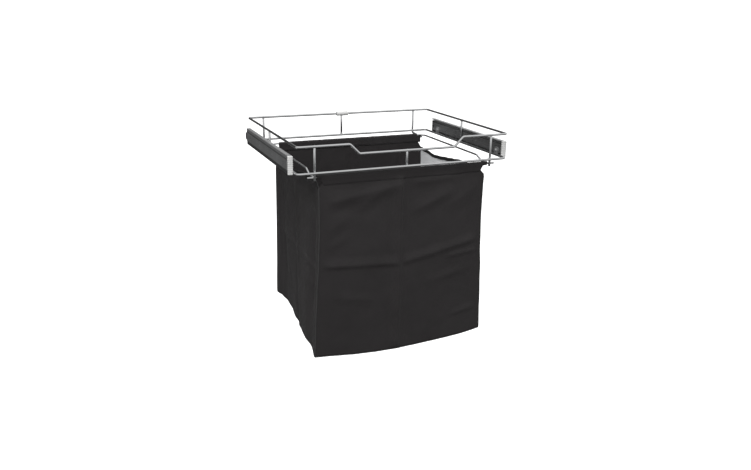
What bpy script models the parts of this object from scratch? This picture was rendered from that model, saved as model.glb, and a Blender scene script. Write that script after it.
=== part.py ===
"""Pull-out laundry hamper: a chrome wire frame between two ball-bearing slides, with a hanging cloth bag.

Metres, +Z up, -Y is the front and the way the basket pulls out. The origin is the middle of the
underside of the whole object's box. The basket is at home, with both slides closed.
"""

import math

import bmesh
import bpy
from mathutils import Matrix, Vector

# Clear gap left between pieces that touch.
GAP = 0.0003

# Points closer than this are one point.
WELD_DISTANCE = 0.00001

# Faces that meet at more than this are shaded as a sharp edge.
SHARP_ANGLE = 35

# Wire frame, between wire centres.
FRAME_WIDTH = 0.578
FRAME_DEPTH = 0.463
FRAME_RISE = 0.065
WIRE_RADIUS = 0.003
FRAME_CORNER_RADIUS = 0.009
BUMPER_RADIUS = 0.0065
BUMPER_LENGTH = 0.036
BUMPER_SLIT = 0.0024

# The lowered stretch of the front of the top rail, measured from the middle.
DIP_DROP = 0.0245
DIP_FLOOR_HALF = 0.131
DIP_TOP_HALF = 0.156
DIP_BEND_RADIUS = 0.009

# Uprights: at the front inside both rails, at the back behind them, at the sides between them.
UPRIGHT_SPREAD = 0.244
SIDE_UPRIGHT_SETBACK = 0.238
FRONT_UPRIGHT_TAIL = 0.020
REAR_FOOT_BEND = 0.008

# The bag hanger: a bow that makes the back and sides, and a straight rod across the front.
HANGER_RADIUS = 0.0025
HANGER_DROP = 0.002
ROD_DROP = 0.013
ROD_OVERHANG = 0.017
BOW_REAR_INSET = 0.066
BOW_CORNER_RADIUS = 0.024
BOW_BEND_RADIUS = 0.012
BOW_STEP_BACK = 0.072
BOW_STEP_FRONT = 0.047

# Ball-bearing slides. Depths run from the cabinet wall inwards, heights from the slide's middle.
SLIDE_LENGTH = 0.400
SLIDE_THICKNESS = 0.0125
SLIDE_HEIGHT = 0.0457
SLIDE_LIFT = 0.01815
SLIDE_SETBACK = 0.030
SHEET = 0.0012
CAGE_SHEET = 0.0006
END_CLEARANCE = 0.005
CABINET_LIP_DEPTH = 0.0114
CABINET_LIP_DROP = 0.0026
CABINET_RACE_DEPTH = 0.0014
CABINET_STEP_TOP = 0.0140
CABINET_STEP_FOOT = 0.0130
MIDDLE_WEB_DEPTH = 0.0039
MIDDLE_HALF_HEIGHT = 0.01705
MIDDLE_LIP_DEPTH = 0.0110
MIDDLE_LIP_DROP = 0.0018
BASKET_HALF_HEIGHT = 0.01185
BASKET_LIP_DEPTH = 0.0063
BASKET_LIP_RISE = 0.0013
SHEET_BEND_RADIUS = 0.0008
BALL_RADIUS = 0.00185
BALLS_PER_ROW = 6
CAGE_START = 0.105
CAGE_LENGTH = 0.190
CABINET_TONGUE_LENGTH = 0.012
CABINET_TONGUE_HALF = 0.010
CABINET_TONGUE_RADIUS = 0.006
WALL_HOLES = (0.037, 0.133, 0.261, 0.357)
WALL_HOLE_RADIUS = 0.0024
ACCESS_HOLE_RADIUS = 0.005
REAR_HOLE = 0.3885
REAR_HOLE_RADIUS = 0.0035

# Depths of a ball cage: its web, the edge of its strip and the middle of its balls.
OUTER_CAGE_DEPTHS = (0.0026, 0.0088, 0.0066)
INNER_CAGE_DEPTHS = (0.0051, 0.0100, 0.0085)

# Front end caps, rear stops and release levers of the slides.
CAP_DEPTH = 0.008
CAP_BEVEL = 0.001
STOP_BEVEL = 0.0008
CAP_TONGUE = 0.012
CAP_GROOVES = (-0.012, -0.004, 0.004, 0.012)
CAP_GROOVE_RADIUS = 0.0005
LEVER_START = 0.130
LEVER_LENGTH = 0.062
LEVER_RADIUS = 0.0042
LEVER_THICKNESS = 0.003
LEVER_DEPTH = 0.008
RIVET_RADIUS = 0.0018
RIVET_HEAD_RADIUS = 0.0031
RIVET_HEAD_HEIGHT = 0.0005

# Tabs that stand on the lower rail and take the screws into the slides.
TAB_DISTANCES = (0.021, 0.358)
TAB_THICKNESS = 0.0015
TAB_RADIUS = 0.0095
TAB_SCREW_HEIGHT = 0.0122
SCREW_RADIUS = 0.002
SCREW_HEAD_RADIUS = 0.0046
SCREW_HEAD_HEIGHT = 0.0026
SCREW_LENGTH = 0.0065
SCREW_POINT = 0.0008

# Cloth bag.
CLOTH = 0.0016
SLEEVE_RADIUS = 0.0038
SLEEVE_HALF_LENGTH = 0.2205
BAG_TOP_HALF = 0.2375
BAG_FOOT_HALF = 0.2440
BAG_SIDE_INSET = 0.2430
BAG_SHOULDER_DROP = 0.045
BAG_FRONT_CORNER_DROP = 0.495
BAG_FRONT_MIDDLE_DROP = 0.5115
BAG_REAR_DROP = 0.459
BAG_SIDE_TOP_FRONT = 0.020
BAG_SIDE_TOP_REAR = 0.048
BINDING_RADIUS = 0.0018

# The lowest point of the bag is at Z = 0. The rear uprights stand behind the rails, so the rails sit
# half a weld's offset in front of the middle of the box.
LOWER_RAIL_Z = BAG_FRONT_MIDDLE_DROP
WELD_OFFSET = 2 * WIRE_RADIUS + GAP
FRAME_Y = -WELD_OFFSET / 2
FRONT_RAIL_Y = FRAME_Y - FRAME_DEPTH / 2
REAR_RAIL_Y = FRAME_Y + FRAME_DEPTH / 2
TOP_RAIL_Z = LOWER_RAIL_Z + FRAME_RISE
SIDE_RAIL_X = FRAME_WIDTH / 2
SLIDE_Z = LOWER_RAIL_Z + SLIDE_LIFT
SLIDE_FACE_X = SIDE_RAIL_X + WIRE_RADIUS + GAP
WALL_X = SLIDE_FACE_X + SLIDE_THICKNESS
SLIDE_FRONT_Y = FRONT_RAIL_Y + SLIDE_SETBACK
ROD_Y = FRONT_RAIL_Y + WELD_OFFSET + WIRE_RADIUS + GAP + HANGER_RADIUS
ROD_Z = LOWER_RAIL_Z - ROD_DROP
BOW_REAR_Y = REAR_RAIL_Y - BOW_REAR_INSET
BOW_Z = LOWER_RAIL_Z - HANGER_DROP
REAR_FOOT_Z = BOW_Z - HANGER_RADIUS - GAP - WIRE_RADIUS
BAG_FRONT_Y = ROD_Y + 0.002
BAG_REAR_Y = BOW_REAR_Y

FINISHES = {
    "chrome": ((0.80, 0.81, 0.83), 0.12, 1.0),
    "zinc": ((0.60, 0.61, 0.63), 0.35, 1.0),
    "white_plastic": ((0.86, 0.86, 0.85), 0.40, 0.0),
    "black_plastic": ((0.03, 0.03, 0.03), 0.45, 0.0),
    "black_cloth": ((0.025, 0.023, 0.024), 0.90, 0.0),
    "grey_cloth": ((0.45, 0.45, 0.46), 0.90, 0.0),
    "black_tape": ((0.012, 0.012, 0.012), 0.85, 0.0),
}


def clear_scene():
    for obj in list(bpy.data.objects):
        bpy.data.objects.remove(obj, do_unlink=True)


def new_collection(name):
    collection = bpy.data.collections.new(name)
    bpy.context.scene.collection.children.link(collection)
    return collection


def new_finish(name):
    colour, roughness, metallic = FINISHES[name]
    material = bpy.data.materials.new(name)
    material.use_nodes = True
    shader = material.node_tree.nodes["Principled BSDF"]
    shader.inputs["Base Color"].default_value = (*colour, 1.0)
    shader.inputs["Roughness"].default_value = roughness
    shader.inputs["Metallic"].default_value = metallic
    return material


def place(name, data, finish, location=(0, 0, 0)):
    """Add an object for this mesh or curve, with a finish of its own."""
    obj = bpy.data.objects.new(name, data)
    obj.location = location
    data.materials.append(new_finish(finish))
    PARTS.objects.link(obj)
    return obj


def mesh_from(bm, name):
    bmesh.ops.recalc_face_normals(bm, faces=bm.faces)
    mesh = bpy.data.meshes.new(name)
    bm.to_mesh(mesh)
    bm.free()
    mesh.shade_smooth()
    mesh.set_sharp_from_angle(angle=math.radians(SHARP_ANGLE))
    return mesh


def applied(obj):
    """Replace an object's mesh with its evaluated one, and drop its modifiers."""
    graph = bpy.context.evaluated_depsgraph_get()
    mesh = bpy.data.meshes.new_from_object(obj.evaluated_get(graph))
    obj.modifiers.clear()
    obj.data = mesh


def make_cutter(name, mesh):
    cutter = bpy.data.objects.new(name, mesh)
    cutter.hide_render = True
    cutter.display_type = "WIRE"
    CUTTERS.objects.link(cutter)
    return cutter


def combine(obj, name, mesh, operation="DIFFERENCE"):
    """Cut a mesh out of an object, or join it on."""
    modifier = obj.modifiers.new(name, "BOOLEAN")
    modifier.operation = operation
    modifier.solver = "EXACT"
    modifier.object = make_cutter(f"{obj.name}_{name}", mesh)


def rounded(corners, radii, closed=False, turn_steps=6):
    """A path through the corners, with an arc of the given radius at each one."""
    points = []
    count = len(corners)
    for index, corner in enumerate(corners):
        radius = radii[index] if isinstance(radii, (list, tuple)) else radii
        if not closed and index in (0, count - 1):
            points.append(Vector(corner))
            continue
        here = Vector(corner)
        back = (Vector(corners[index - 1]) - here).normalized()
        ahead = (Vector(corners[(index + 1) % count]) - here).normalized()
        half_angle = back.angle(ahead) / 2
        centre = here + (back + ahead).normalized() * (radius / math.sin(half_angle))
        start = here + back * (radius / math.tan(half_angle)) - centre
        end = here + ahead * (radius / math.tan(half_angle)) - centre
        steps = max(2, round(turn_steps * start.angle(end) / (math.pi / 2)))
        points += [centre + start.slerp(end, step / steps) * radius for step in range(steps + 1)]
    return points


def wire(name, points, radius=WIRE_RADIUS, closed=False, finish="chrome"):
    curve = bpy.data.curves.new(name, "CURVE")
    curve.dimensions = "3D"
    curve.bevel_depth = radius
    curve.bevel_resolution = 2
    curve.use_fill_caps = True
    spline = curve.splines.new("POLY")
    spline.points.add(len(points) - 1)
    for spline_point, point in zip(spline.points, points):
        spline_point.co = (*point, 1.0)
    spline.use_cyclic_u = closed
    spline.use_smooth = True
    return place(name, curve, finish)


def plate_curve(name, outline, thickness):
    """A filled outline with a thickness, in its own plane."""
    curve = bpy.data.curves.new(name, "CURVE")
    curve.dimensions = "2D"
    curve.fill_mode = "BOTH"
    curve.extrude = thickness / 2
    spline = curve.splines.new("POLY")
    spline.points.add(len(outline) - 1)
    for spline_point, (across, along) in zip(spline.points, outline):
        spline_point.co = (across, along, 0.0, 1.0)
    spline.use_cyclic_u = True
    return curve


def plate(name, outline, thickness, matrix, finish):
    """A flat piece cut to an outline, lying in the plane that the matrix gives."""
    obj = place(name, plate_curve(name, outline, thickness), finish)
    obj.matrix_world = matrix
    return obj


def plate_mesh(name, outline, thickness, matrix):
    """The closed mesh of such a piece, already in its place, for a piece that is cut or that cuts."""
    blank = bpy.data.objects.new(f"{name}_blank", plate_curve(name, outline, thickness))
    PARTS.objects.link(blank)
    graph = bpy.context.evaluated_depsgraph_get()
    bm = bmesh.new()
    bm.from_mesh(bpy.data.meshes.new_from_object(blank.evaluated_get(graph)))
    bmesh.ops.remove_doubles(bm, verts=bm.verts, dist=WELD_DISTANCE)
    bm.transform(matrix)
    bpy.data.objects.remove(blank, do_unlink=True)
    return mesh_from(bm, name)


def upright_plane(origin, facing_side=False):
    """The plane of a vertical plate: across is +X, or +Y where it faces the side, and along is +Z."""
    across = Vector((0, 1, 0)) if facing_side else Vector((1, 0, 0))
    up = Vector((0, 0, 1))
    basis = Matrix((across, up, across.cross(up))).transposed()
    return Matrix.Translation(origin) @ basis.to_4x4()


def box_mesh(name, low, high, bevel=0.0):
    bm = bmesh.new()
    size = Vector(high) - Vector(low)
    middle = (Vector(high) + Vector(low)) / 2
    bmesh.ops.create_cube(bm, size=1.0, matrix=Matrix.Translation(middle) @ Matrix.Diagonal((*size, 1)))
    if bevel:
        bmesh.ops.bevel(bm, geom=bm.edges, offset=bevel, segments=2, affect="EDGES", profile=0.5)
    return mesh_from(bm, name)


def rod_mesh(name, centre, axis, radius, length, segments=12):
    """A plain cylinder, centred on a point."""
    bm = bmesh.new()
    turn = Vector((0, 0, 1)).rotation_difference(Vector(axis)).to_matrix().to_4x4()
    bmesh.ops.create_cone(
        bm, cap_ends=True, segments=segments, radius1=radius, radius2=radius, depth=length,
        matrix=Matrix.Translation(centre) @ turn,
    )
    return mesh_from(bm, name)


def turned(name, profile, seat, facing, finish):
    """A headed round piece from its profile of radius and height. Its head faces along +X or -X."""
    bm = bmesh.new()
    verts = [bm.verts.new((radius, 0, height)) for radius, height in profile]
    for first, second in zip(verts, verts[1:]):
        bm.edges.new((first, second))
    mesh = bpy.data.meshes.new(name)
    bm.to_mesh(mesh)
    bm.free()
    piece = place(name, mesh, finish, seat)
    piece.rotation_euler = (0, facing * math.pi / 2, 0)
    turn = piece.modifiers.new("turned", "SCREW")
    turn.steps = 12
    turn.render_steps = 12
    turn.use_merge_vertices = True
    turn.merge_threshold = WELD_DISTANCE
    return piece


def make_top_rail():
    x, y, z = SIDE_RAIL_X, FRONT_RAIL_Y, TOP_RAIL_Z
    corners = [(x, y, z), (x, REAR_RAIL_Y, z), (-x, REAR_RAIL_Y, z), (-x, y, z)]
    radii = [FRAME_CORNER_RADIUS] * 4
    low = z - DIP_DROP
    corners += [(-DIP_TOP_HALF, y, z), (-DIP_FLOOR_HALF, y, low)]
    corners += [(DIP_FLOOR_HALF, y, low), (DIP_TOP_HALF, y, z)]
    radii += [DIP_BEND_RADIUS] * 4
    return wire("top_rail", rounded(corners, radii, closed=True), closed=True)


def make_lower_rail():
    x, z = SIDE_RAIL_X, LOWER_RAIL_Z
    corners = [(x, FRONT_RAIL_Y, z), (x, REAR_RAIL_Y, z), (-x, REAR_RAIL_Y, z), (-x, FRONT_RAIL_Y, z)]
    return wire("lower_rail", rounded(corners, FRAME_CORNER_RADIUS, closed=True), closed=True)


def make_front_uprights():
    y = FRONT_RAIL_Y + WELD_OFFSET
    made = []
    for name, x in (("front_left_upright", -UPRIGHT_SPREAD), ("front_right_upright", UPRIGHT_SPREAD)):
        top = Vector((x, y, TOP_RAIL_Z + WIRE_RADIUS / 2))
        made.append(wire(name, [top, Vector((x, y, LOWER_RAIL_Z - FRONT_UPRIGHT_TAIL))]))
    top = Vector((0, y, TOP_RAIL_Z - DIP_DROP + WIRE_RADIUS / 2))
    made.append(wire("front_centre_upright", [top, Vector((0, y, LOWER_RAIL_Z - WIRE_RADIUS))]))
    return made


def make_rear_uprights():
    """Welded behind the rails. The outer two turn forward at the foot and carry the bag hanger's back."""
    y = REAR_RAIL_Y + WELD_OFFSET
    top_z = TOP_RAIL_Z + WIRE_RADIUS / 2
    corner_pull = BOW_CORNER_RADIUS * (1 - math.cos(math.pi / 4))
    made = []
    for name, x in (("rear_left_upright", -UPRIGHT_SPREAD), ("rear_right_upright", UPRIGHT_SPREAD)):
        toe_x = x - math.copysign(corner_pull, x)
        corners = [(x, y, top_z), (x, y, REAR_FOOT_Z), (toe_x, BOW_REAR_Y - corner_pull, REAR_FOOT_Z)]
        made.append(wire(name, rounded(corners, REAR_FOOT_BEND)))
    centre = [Vector((0, y, top_z)), Vector((0, y, LOWER_RAIL_Z - WIRE_RADIUS))]
    made.append(wire("rear_centre_upright", centre))
    return made


def make_side_uprights():
    """Short bars welded end on between the two rails."""
    y = FRONT_RAIL_Y + SIDE_UPRIGHT_SETBACK
    clear = WIRE_RADIUS + GAP
    made = []
    for name, side in (("left_side_upright", -1), ("right_side_upright", 1)):
        x = side * SIDE_RAIL_X
        made.append(wire(name, [Vector((x, y, TOP_RAIL_Z - clear)), Vector((x, y, LOWER_RAIL_Z + clear))]))
    return made


def make_hanger():
    """The bow steps down towards the front, and its ends meet the back of the rod."""
    x = UPRIGHT_SPREAD
    end_y = ROD_Y + 2 * HANGER_RADIUS + GAP
    right = [
        (x, end_y, ROD_Z), (x, FRONT_RAIL_Y + BOW_STEP_FRONT, ROD_Z),
        (x, FRONT_RAIL_Y + BOW_STEP_BACK, BOW_Z), (x, BOW_REAR_Y, BOW_Z),
    ]
    left = [(-px, py, pz) for px, py, pz in reversed(right)]
    radii = [0, BOW_BEND_RADIUS, BOW_BEND_RADIUS, BOW_CORNER_RADIUS]
    bow = wire("hanger_bow", rounded(right + left, radii + radii[::-1]), HANGER_RADIUS)
    reach = UPRIGHT_SPREAD + ROD_OVERHANG
    ends = [Vector((-reach, ROD_Y, ROD_Z)), Vector((reach, ROD_Y, ROD_Z))]
    rod = wire("hanger_front_rod", ends, HANGER_RADIUS)
    return [bow, rod]


def make_rear_bumper():
    """A soft sleeve snapped over the middle of the rear top rail, open at the back for the upright."""
    name = "rear_rail_bumper"
    centre = Vector((0, REAR_RAIL_Y, TOP_RAIL_Z))
    sleeve = place(name, rod_mesh(name, centre, (1, 0, 0), BUMPER_RADIUS, BUMPER_LENGTH, 16), "white_plastic")
    bore = rod_mesh("bore", centre, (1, 0, 0), WIRE_RADIUS + GAP, 2 * BUMPER_LENGTH, 16)
    combine(sleeve, "bore", bore)
    slit = box_mesh(
        "slit", centre + Vector((-BUMPER_LENGTH, 0, -BUMPER_SLIT / 2)),
        centre + Vector((BUMPER_LENGTH, 2 * BUMPER_RADIUS, BUMPER_SLIT / 2)),
    )
    combine(sleeve, "slit", slit)
    half_notch = WIRE_RADIUS + 2 * GAP
    notch = box_mesh(
        "notch", centre + Vector((-half_notch, WIRE_RADIUS / 2, -2 * BUMPER_RADIUS)),
        centre + Vector((half_notch, 2 * BUMPER_RADIUS, 2 * BUMPER_RADIUS)),
    )
    combine(sleeve, "notch", notch)
    return sleeve


def slide_x(side, depth):
    """World X of a depth measured from the cabinet wall."""
    return side * (WALL_X - depth)


def slide_y(distance):
    """World Y of a distance from the slide's front end."""
    return SLIDE_FRONT_Y + distance


def bent_section(half):
    """A symmetrical sheet section: its upper half, from lip to web, and the mirror of that."""
    corners = half + [(depth, -height) for depth, height in reversed(half)]
    flat = [(depth, height, 0.0) for depth, height in corners]
    return [(point.x, point.y) for point in rounded(flat, SHEET_BEND_RADIUS, turn_steps=2)]


def formed_strip(name, side, half_section, start, length, sheet, finish):
    """A bent strip of sheet: the section swept along the slide, then given its thickness."""
    bm = bmesh.new()
    front, back = slide_y(start), slide_y(start + length)
    rows = []
    for y in (front, back):
        rows.append([
            bm.verts.new((slide_x(side, depth), y, SLIDE_Z + height))
            for depth, height in bent_section(half_section)
        ])
    for index in range(len(rows[0]) - 1):
        bm.faces.new((rows[0][index], rows[0][index + 1], rows[1][index + 1], rows[1][index]))
    strip = place(name, mesh_from(bm, name), finish)
    wall = strip.modifiers.new("sheet", "SOLIDIFY")
    wall.thickness = sheet
    wall.offset = 0
    wall.use_even_offset = True
    return strip


def drill(obj, name, side, distance, height, radius):
    centre = (slide_x(side, SLIDE_THICKNESS / 2), slide_y(distance), SLIDE_Z + height)
    combine(obj, name, rod_mesh(name, centre, (1, 0, 0), radius, 2 * SLIDE_THICKNESS, 10))


def tongue_relief(name, side, upward):
    """What is cut away above or below the cabinet member's tongue, round its corner."""
    length = SLIDE_LENGTH + CABINET_TONGUE_LENGTH
    corner = (length - CABINET_TONGUE_RADIUS, CABINET_TONGUE_HALF - CABINET_TONGUE_RADIUS)
    steps = 5
    arc = []
    for step in range(steps + 1):
        angle = math.pi / 2 * (1 - step / steps)
        reach = Vector((math.cos(angle), math.sin(angle))) * CABINET_TONGUE_RADIUS
        arc.append((corner[0] + reach.x, corner[1] + reach.y))
    far = length + SLIDE_THICKNESS
    outline = [(SLIDE_LENGTH, SLIDE_HEIGHT), (SLIDE_LENGTH, CABINET_TONGUE_HALF)] + arc
    outline += [(far, corner[1]), (far, SLIDE_HEIGHT)]
    outline = [(along, upward * height) for along, height in outline]
    origin = Vector((slide_x(side, SLIDE_THICKNESS / 2), SLIDE_FRONT_Y, SLIDE_Z))
    return plate_mesh(name, outline, 2 * SLIDE_THICKNESS, upright_plane(origin, facing_side=True))


def make_cabinet_member(word, side):
    """The outer channel. Its web stands out towards the wall between two raceways, and ends in a tongue."""
    flange = SLIDE_HEIGHT / 2 - SHEET / 2
    half = [
        (CABINET_LIP_DEPTH, flange - CABINET_LIP_DROP), (CABINET_LIP_DEPTH, flange),
        (CABINET_RACE_DEPTH, flange), (CABINET_RACE_DEPTH, CABINET_STEP_TOP),
        (SHEET / 2, CABINET_STEP_FOOT),
    ]
    length = SLIDE_LENGTH + CABINET_TONGUE_LENGTH
    member = formed_strip(f"{word}_cabinet_member", side, half, 0, length, SHEET, "zinc")
    combine(member, "above_tongue", tongue_relief("above_tongue", side, 1))
    combine(member, "below_tongue", tongue_relief("below_tongue", side, -1))
    for number, distance in enumerate(WALL_HOLES):
        drill(member, f"wall_hole_{number}", side, distance, 0, WALL_HOLE_RADIUS)
    return member


def make_intermediate_member(word, side):
    half = [
        (MIDDLE_LIP_DEPTH, MIDDLE_HALF_HEIGHT - MIDDLE_LIP_DROP),
        (MIDDLE_LIP_DEPTH, MIDDLE_HALF_HEIGHT),
        (MIDDLE_WEB_DEPTH, MIDDLE_HALF_HEIGHT),
    ]
    length = SLIDE_LENGTH - END_CLEARANCE
    member = formed_strip(f"{word}_intermediate_member", side, half, 0, length, SHEET, "zinc")
    for number, distance in enumerate((WALL_HOLES[0], WALL_HOLES[-1])):
        drill(member, f"access_hole_{number}", side, distance, 0, ACCESS_HOLE_RADIUS)
    return member


def make_basket_member(word, side):
    half = [
        (BASKET_LIP_DEPTH, BASKET_HALF_HEIGHT + BASKET_LIP_RISE),
        (BASKET_LIP_DEPTH, BASKET_HALF_HEIGHT),
        (SLIDE_THICKNESS - SHEET / 2, BASKET_HALF_HEIGHT),
    ]
    length = SLIDE_LENGTH - END_CLEARANCE
    member = formed_strip(f"{word}_basket_member", side, half, 0, length, SHEET, "zinc")
    height = LOWER_RAIL_Z + TAB_SCREW_HEIGHT - SLIDE_Z
    for number, distance in enumerate(TAB_DISTANCES):
        drill(member, f"screw_hole_{number}", side, distance, height, SCREW_RADIUS + GAP)
    drill(member, "rivet_hole", side, LEVER_START, 0, RIVET_RADIUS + GAP)
    drill(member, "rear_hole", side, REAR_HOLE, 0, REAR_HOLE_RADIUS)
    return member


def ball_rows(side, depth, height):
    bm = bmesh.new()
    pitch = CAGE_LENGTH / BALLS_PER_ROW
    for number in range(BALLS_PER_ROW):
        y = slide_y(CAGE_START + (number + 0.5) * pitch)
        for level in (-height, height):
            where = Matrix.Translation((slide_x(side, depth), y, SLIDE_Z + level))
            bmesh.ops.create_uvsphere(bm, u_segments=8, v_segments=6, radius=BALL_RADIUS, matrix=where)
    return mesh_from(bm, "balls")


def make_ball_cage(word, side, which, depths, height):
    """A thin strip that holds two rows of balls, one in each raceway."""
    web_depth, edge_depth, ball_depth = depths
    half = [(edge_depth, height), (web_depth, height)]
    cage = formed_strip(f"{word}_{which}_ball_cage", side, half, CAGE_START, CAGE_LENGTH, CAGE_SHEET, "zinc")
    applied(cage)
    combine(cage, "balls", ball_rows(side, ball_depth, height), "UNION")
    return cage


def make_front_end_cap(word, side):
    """A block that closes the slide's front end, with a tongue held in the basket member's channel."""
    name = f"{word}_front_end_cap"
    back = slide_y(-GAP)
    half = SLIDE_HEIGHT / 2
    edges = sorted((slide_x(side, 0), slide_x(side, SLIDE_THICKNESS)))
    low, high = (edges[0], back - CAP_DEPTH, SLIDE_Z - half), (edges[1], back, SLIDE_Z + half)
    cap = place(name, box_mesh(name, low, high, CAP_BEVEL), "white_plastic")
    inner = sorted((slide_x(side, BASKET_LIP_DEPTH), slide_x(side, SLIDE_THICKNESS - SHEET - GAP)))
    tongue_half = BASKET_HALF_HEIGHT - SHEET / 2 - GAP
    tongue = box_mesh(
        "tongue", (inner[0], back - CAP_DEPTH / 2, SLIDE_Z - tongue_half),
        (inner[1], slide_y(CAP_TONGUE), SLIDE_Z + tongue_half),
    )
    combine(cap, "tongue", tongue, "UNION")
    for number, height in enumerate(CAP_GROOVES):
        centre = (slide_x(side, SLIDE_THICKNESS / 2), back - CAP_DEPTH, SLIDE_Z + height)
        groove = rod_mesh("groove", centre, (1, 0, 0), CAP_GROOVE_RADIUS, 2 * SLIDE_THICKNESS, 8)
        combine(cap, f"groove_{number}", groove)
    return cap


def make_rear_stop(word, side):
    """A soft block at the back of the cabinet member that the closed slide rests against."""
    name = f"{word}_rear_stop"
    inner = CABINET_RACE_DEPTH + SHEET / 2 + GAP
    edges = sorted((slide_x(side, inner), slide_x(side, CABINET_LIP_DEPTH)))
    half = MIDDLE_HALF_HEIGHT
    low = (edges[0], slide_y(SLIDE_LENGTH - END_CLEARANCE + GAP), SLIDE_Z - half)
    high = (edges[1], slide_y(SLIDE_LENGTH), SLIDE_Z + half)
    return place(name, box_mesh(name, low, high, STOP_BEVEL), "black_plastic")


def lever_outline(steps=8):
    """A flat bar with a round eye at its pivot and a round finger end."""
    outline = []
    for centre, first in ((0.0, 90), (LEVER_LENGTH, -90)):
        for step in range(steps + 1):
            angle = math.radians(first + 180 * step / steps)
            outline.append((centre + LEVER_RADIUS * math.cos(angle), LEVER_RADIUS * math.sin(angle)))
    return outline


def make_release_lever(word, side):
    """A lever in the basket member's channel, with an eye for the rivet that it turns on."""
    name = f"{word}_release_lever"
    pivot = Vector((slide_x(side, LEVER_DEPTH), slide_y(LEVER_START), SLIDE_Z))
    bar = plate_mesh(name, lever_outline(), LEVER_THICKNESS, upright_plane(pivot, facing_side=True))
    lever = place(name, bar, "black_plastic")
    combine(lever, "eye", rod_mesh("eye", pivot, (1, 0, 0), RIVET_RADIUS + GAP, 2 * SLIDE_THICKNESS, 10))
    return lever


def make_lever_rivet(word, side):
    """A rivet through the lever and the basket member's web, with its head towards the wall."""
    inner = LEVER_DEPTH - LEVER_THICKNESS / 2 - GAP
    length = SLIDE_THICKNESS - SHEET / 4 - inner
    profile = [
        (0, RIVET_HEAD_HEIGHT), (RIVET_HEAD_RADIUS, RIVET_HEAD_HEIGHT), (RIVET_HEAD_RADIUS, 0),
        (RIVET_RADIUS, 0), (RIVET_RADIUS, -length), (0, -length),
    ]
    seat = (slide_x(side, inner), slide_y(LEVER_START), SLIDE_Z)
    return turned(f"{word}_lever_rivet", profile, seat, side, "zinc")


def make_mounting_tab(name, side, distance):
    """A round-topped tab that stands on the lower rail, with a hole for its screw."""
    outline = [(-TAB_RADIUS, WIRE_RADIUS - 2 * GAP), (TAB_RADIUS, WIRE_RADIUS - 2 * GAP)]
    steps = 10
    for step in range(steps + 1):
        angle = math.pi * step / steps
        outline.append((TAB_RADIUS * math.cos(angle), TAB_SCREW_HEIGHT + TAB_RADIUS * math.sin(angle)))
    x = side * (SIDE_RAIL_X + WIRE_RADIUS - TAB_THICKNESS / 2)
    origin = Vector((x, slide_y(distance), LOWER_RAIL_Z))
    flat = plate_mesh(name, outline, TAB_THICKNESS, upright_plane(origin, facing_side=True))
    tab = place(name, flat, "chrome")
    centre = origin + Vector((0, 0, TAB_SCREW_HEIGHT))
    combine(tab, "screw_hole", rod_mesh("hole", centre, (1, 0, 0), SCREW_RADIUS + GAP, 4 * TAB_THICKNESS, 12))
    return tab


def make_mounting_screw(name, side, distance):
    """A pan-head screw that points out through the tab into the slide."""
    profile = [
        (0, SCREW_HEAD_HEIGHT), (0.6 * SCREW_HEAD_RADIUS, SCREW_HEAD_HEIGHT),
        (SCREW_HEAD_RADIUS, 0.45 * SCREW_HEAD_HEIGHT), (SCREW_HEAD_RADIUS, 0),
        (SCREW_RADIUS, 0), (SCREW_RADIUS, SCREW_POINT - SCREW_LENGTH),
        (SCREW_RADIUS - SCREW_POINT, -SCREW_LENGTH), (0, -SCREW_LENGTH),
    ]
    seat_x = side * (SIDE_RAIL_X + WIRE_RADIUS - TAB_THICKNESS - GAP)
    seat = (seat_x, slide_y(distance), LOWER_RAIL_Z + TAB_SCREW_HEIGHT)
    return turned(name, profile, seat, -side, "zinc")


def make_slide(word, side):
    """One slide. Gives its pieces by the body that they move with."""
    cabinet = [make_cabinet_member(word, side), make_rear_stop(word, side)]
    flange = SLIDE_HEIGHT / 2 - SHEET
    outer_race = (flange + MIDDLE_HALF_HEIGHT + SHEET / 2) / 2
    inner_race = (MIDDLE_HALF_HEIGHT + BASKET_HALF_HEIGHT) / 2
    outer_cage = make_ball_cage(word, side, "outer", OUTER_CAGE_DEPTHS, outer_race)
    inner_cage = make_ball_cage(word, side, "inner", INNER_CAGE_DEPTHS, inner_race)
    basket = [
        make_basket_member(word, side), make_front_end_cap(word, side), make_lever_rivet(word, side),
    ]
    for place_word, distance in zip(("front", "rear"), TAB_DISTANCES):
        basket.append(make_mounting_tab(f"{word}_{place_word}_mounting_tab", side, distance))
        basket.append(make_mounting_screw(f"{word}_{place_word}_mounting_screw", side, distance))
    return {
        "cabinet": cabinet,
        "basket": basket,
        f"{word}_intermediate": [make_intermediate_member(word, side)],
        f"{word}_outer_cage": [outer_cage],
        f"{word}_inner_cage": [inner_cage],
        f"{word}_lever": [make_release_lever(word, side)],
    }


def bag_face_outline(top_z, foot_corner_z, foot_middle_z):
    """A hanging panel: narrow at its sleeve, wide below its shoulders, with a bowed foot."""
    shoulder_z = LOWER_RAIL_Z - BAG_SHOULDER_DROP
    foot_steps = 6
    outline = [(SLEEVE_HALF_LENGTH, top_z), (-SLEEVE_HALF_LENGTH, top_z), (-BAG_TOP_HALF, shoulder_z)]
    for step in range(foot_steps + 1):
        share = -1 + 2 * step / foot_steps
        z = foot_middle_z + (foot_corner_z - foot_middle_z) * share * share
        outline.append((share * BAG_FOOT_HALF, z))
    outline.append((BAG_TOP_HALF, shoulder_z))
    return outline


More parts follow.
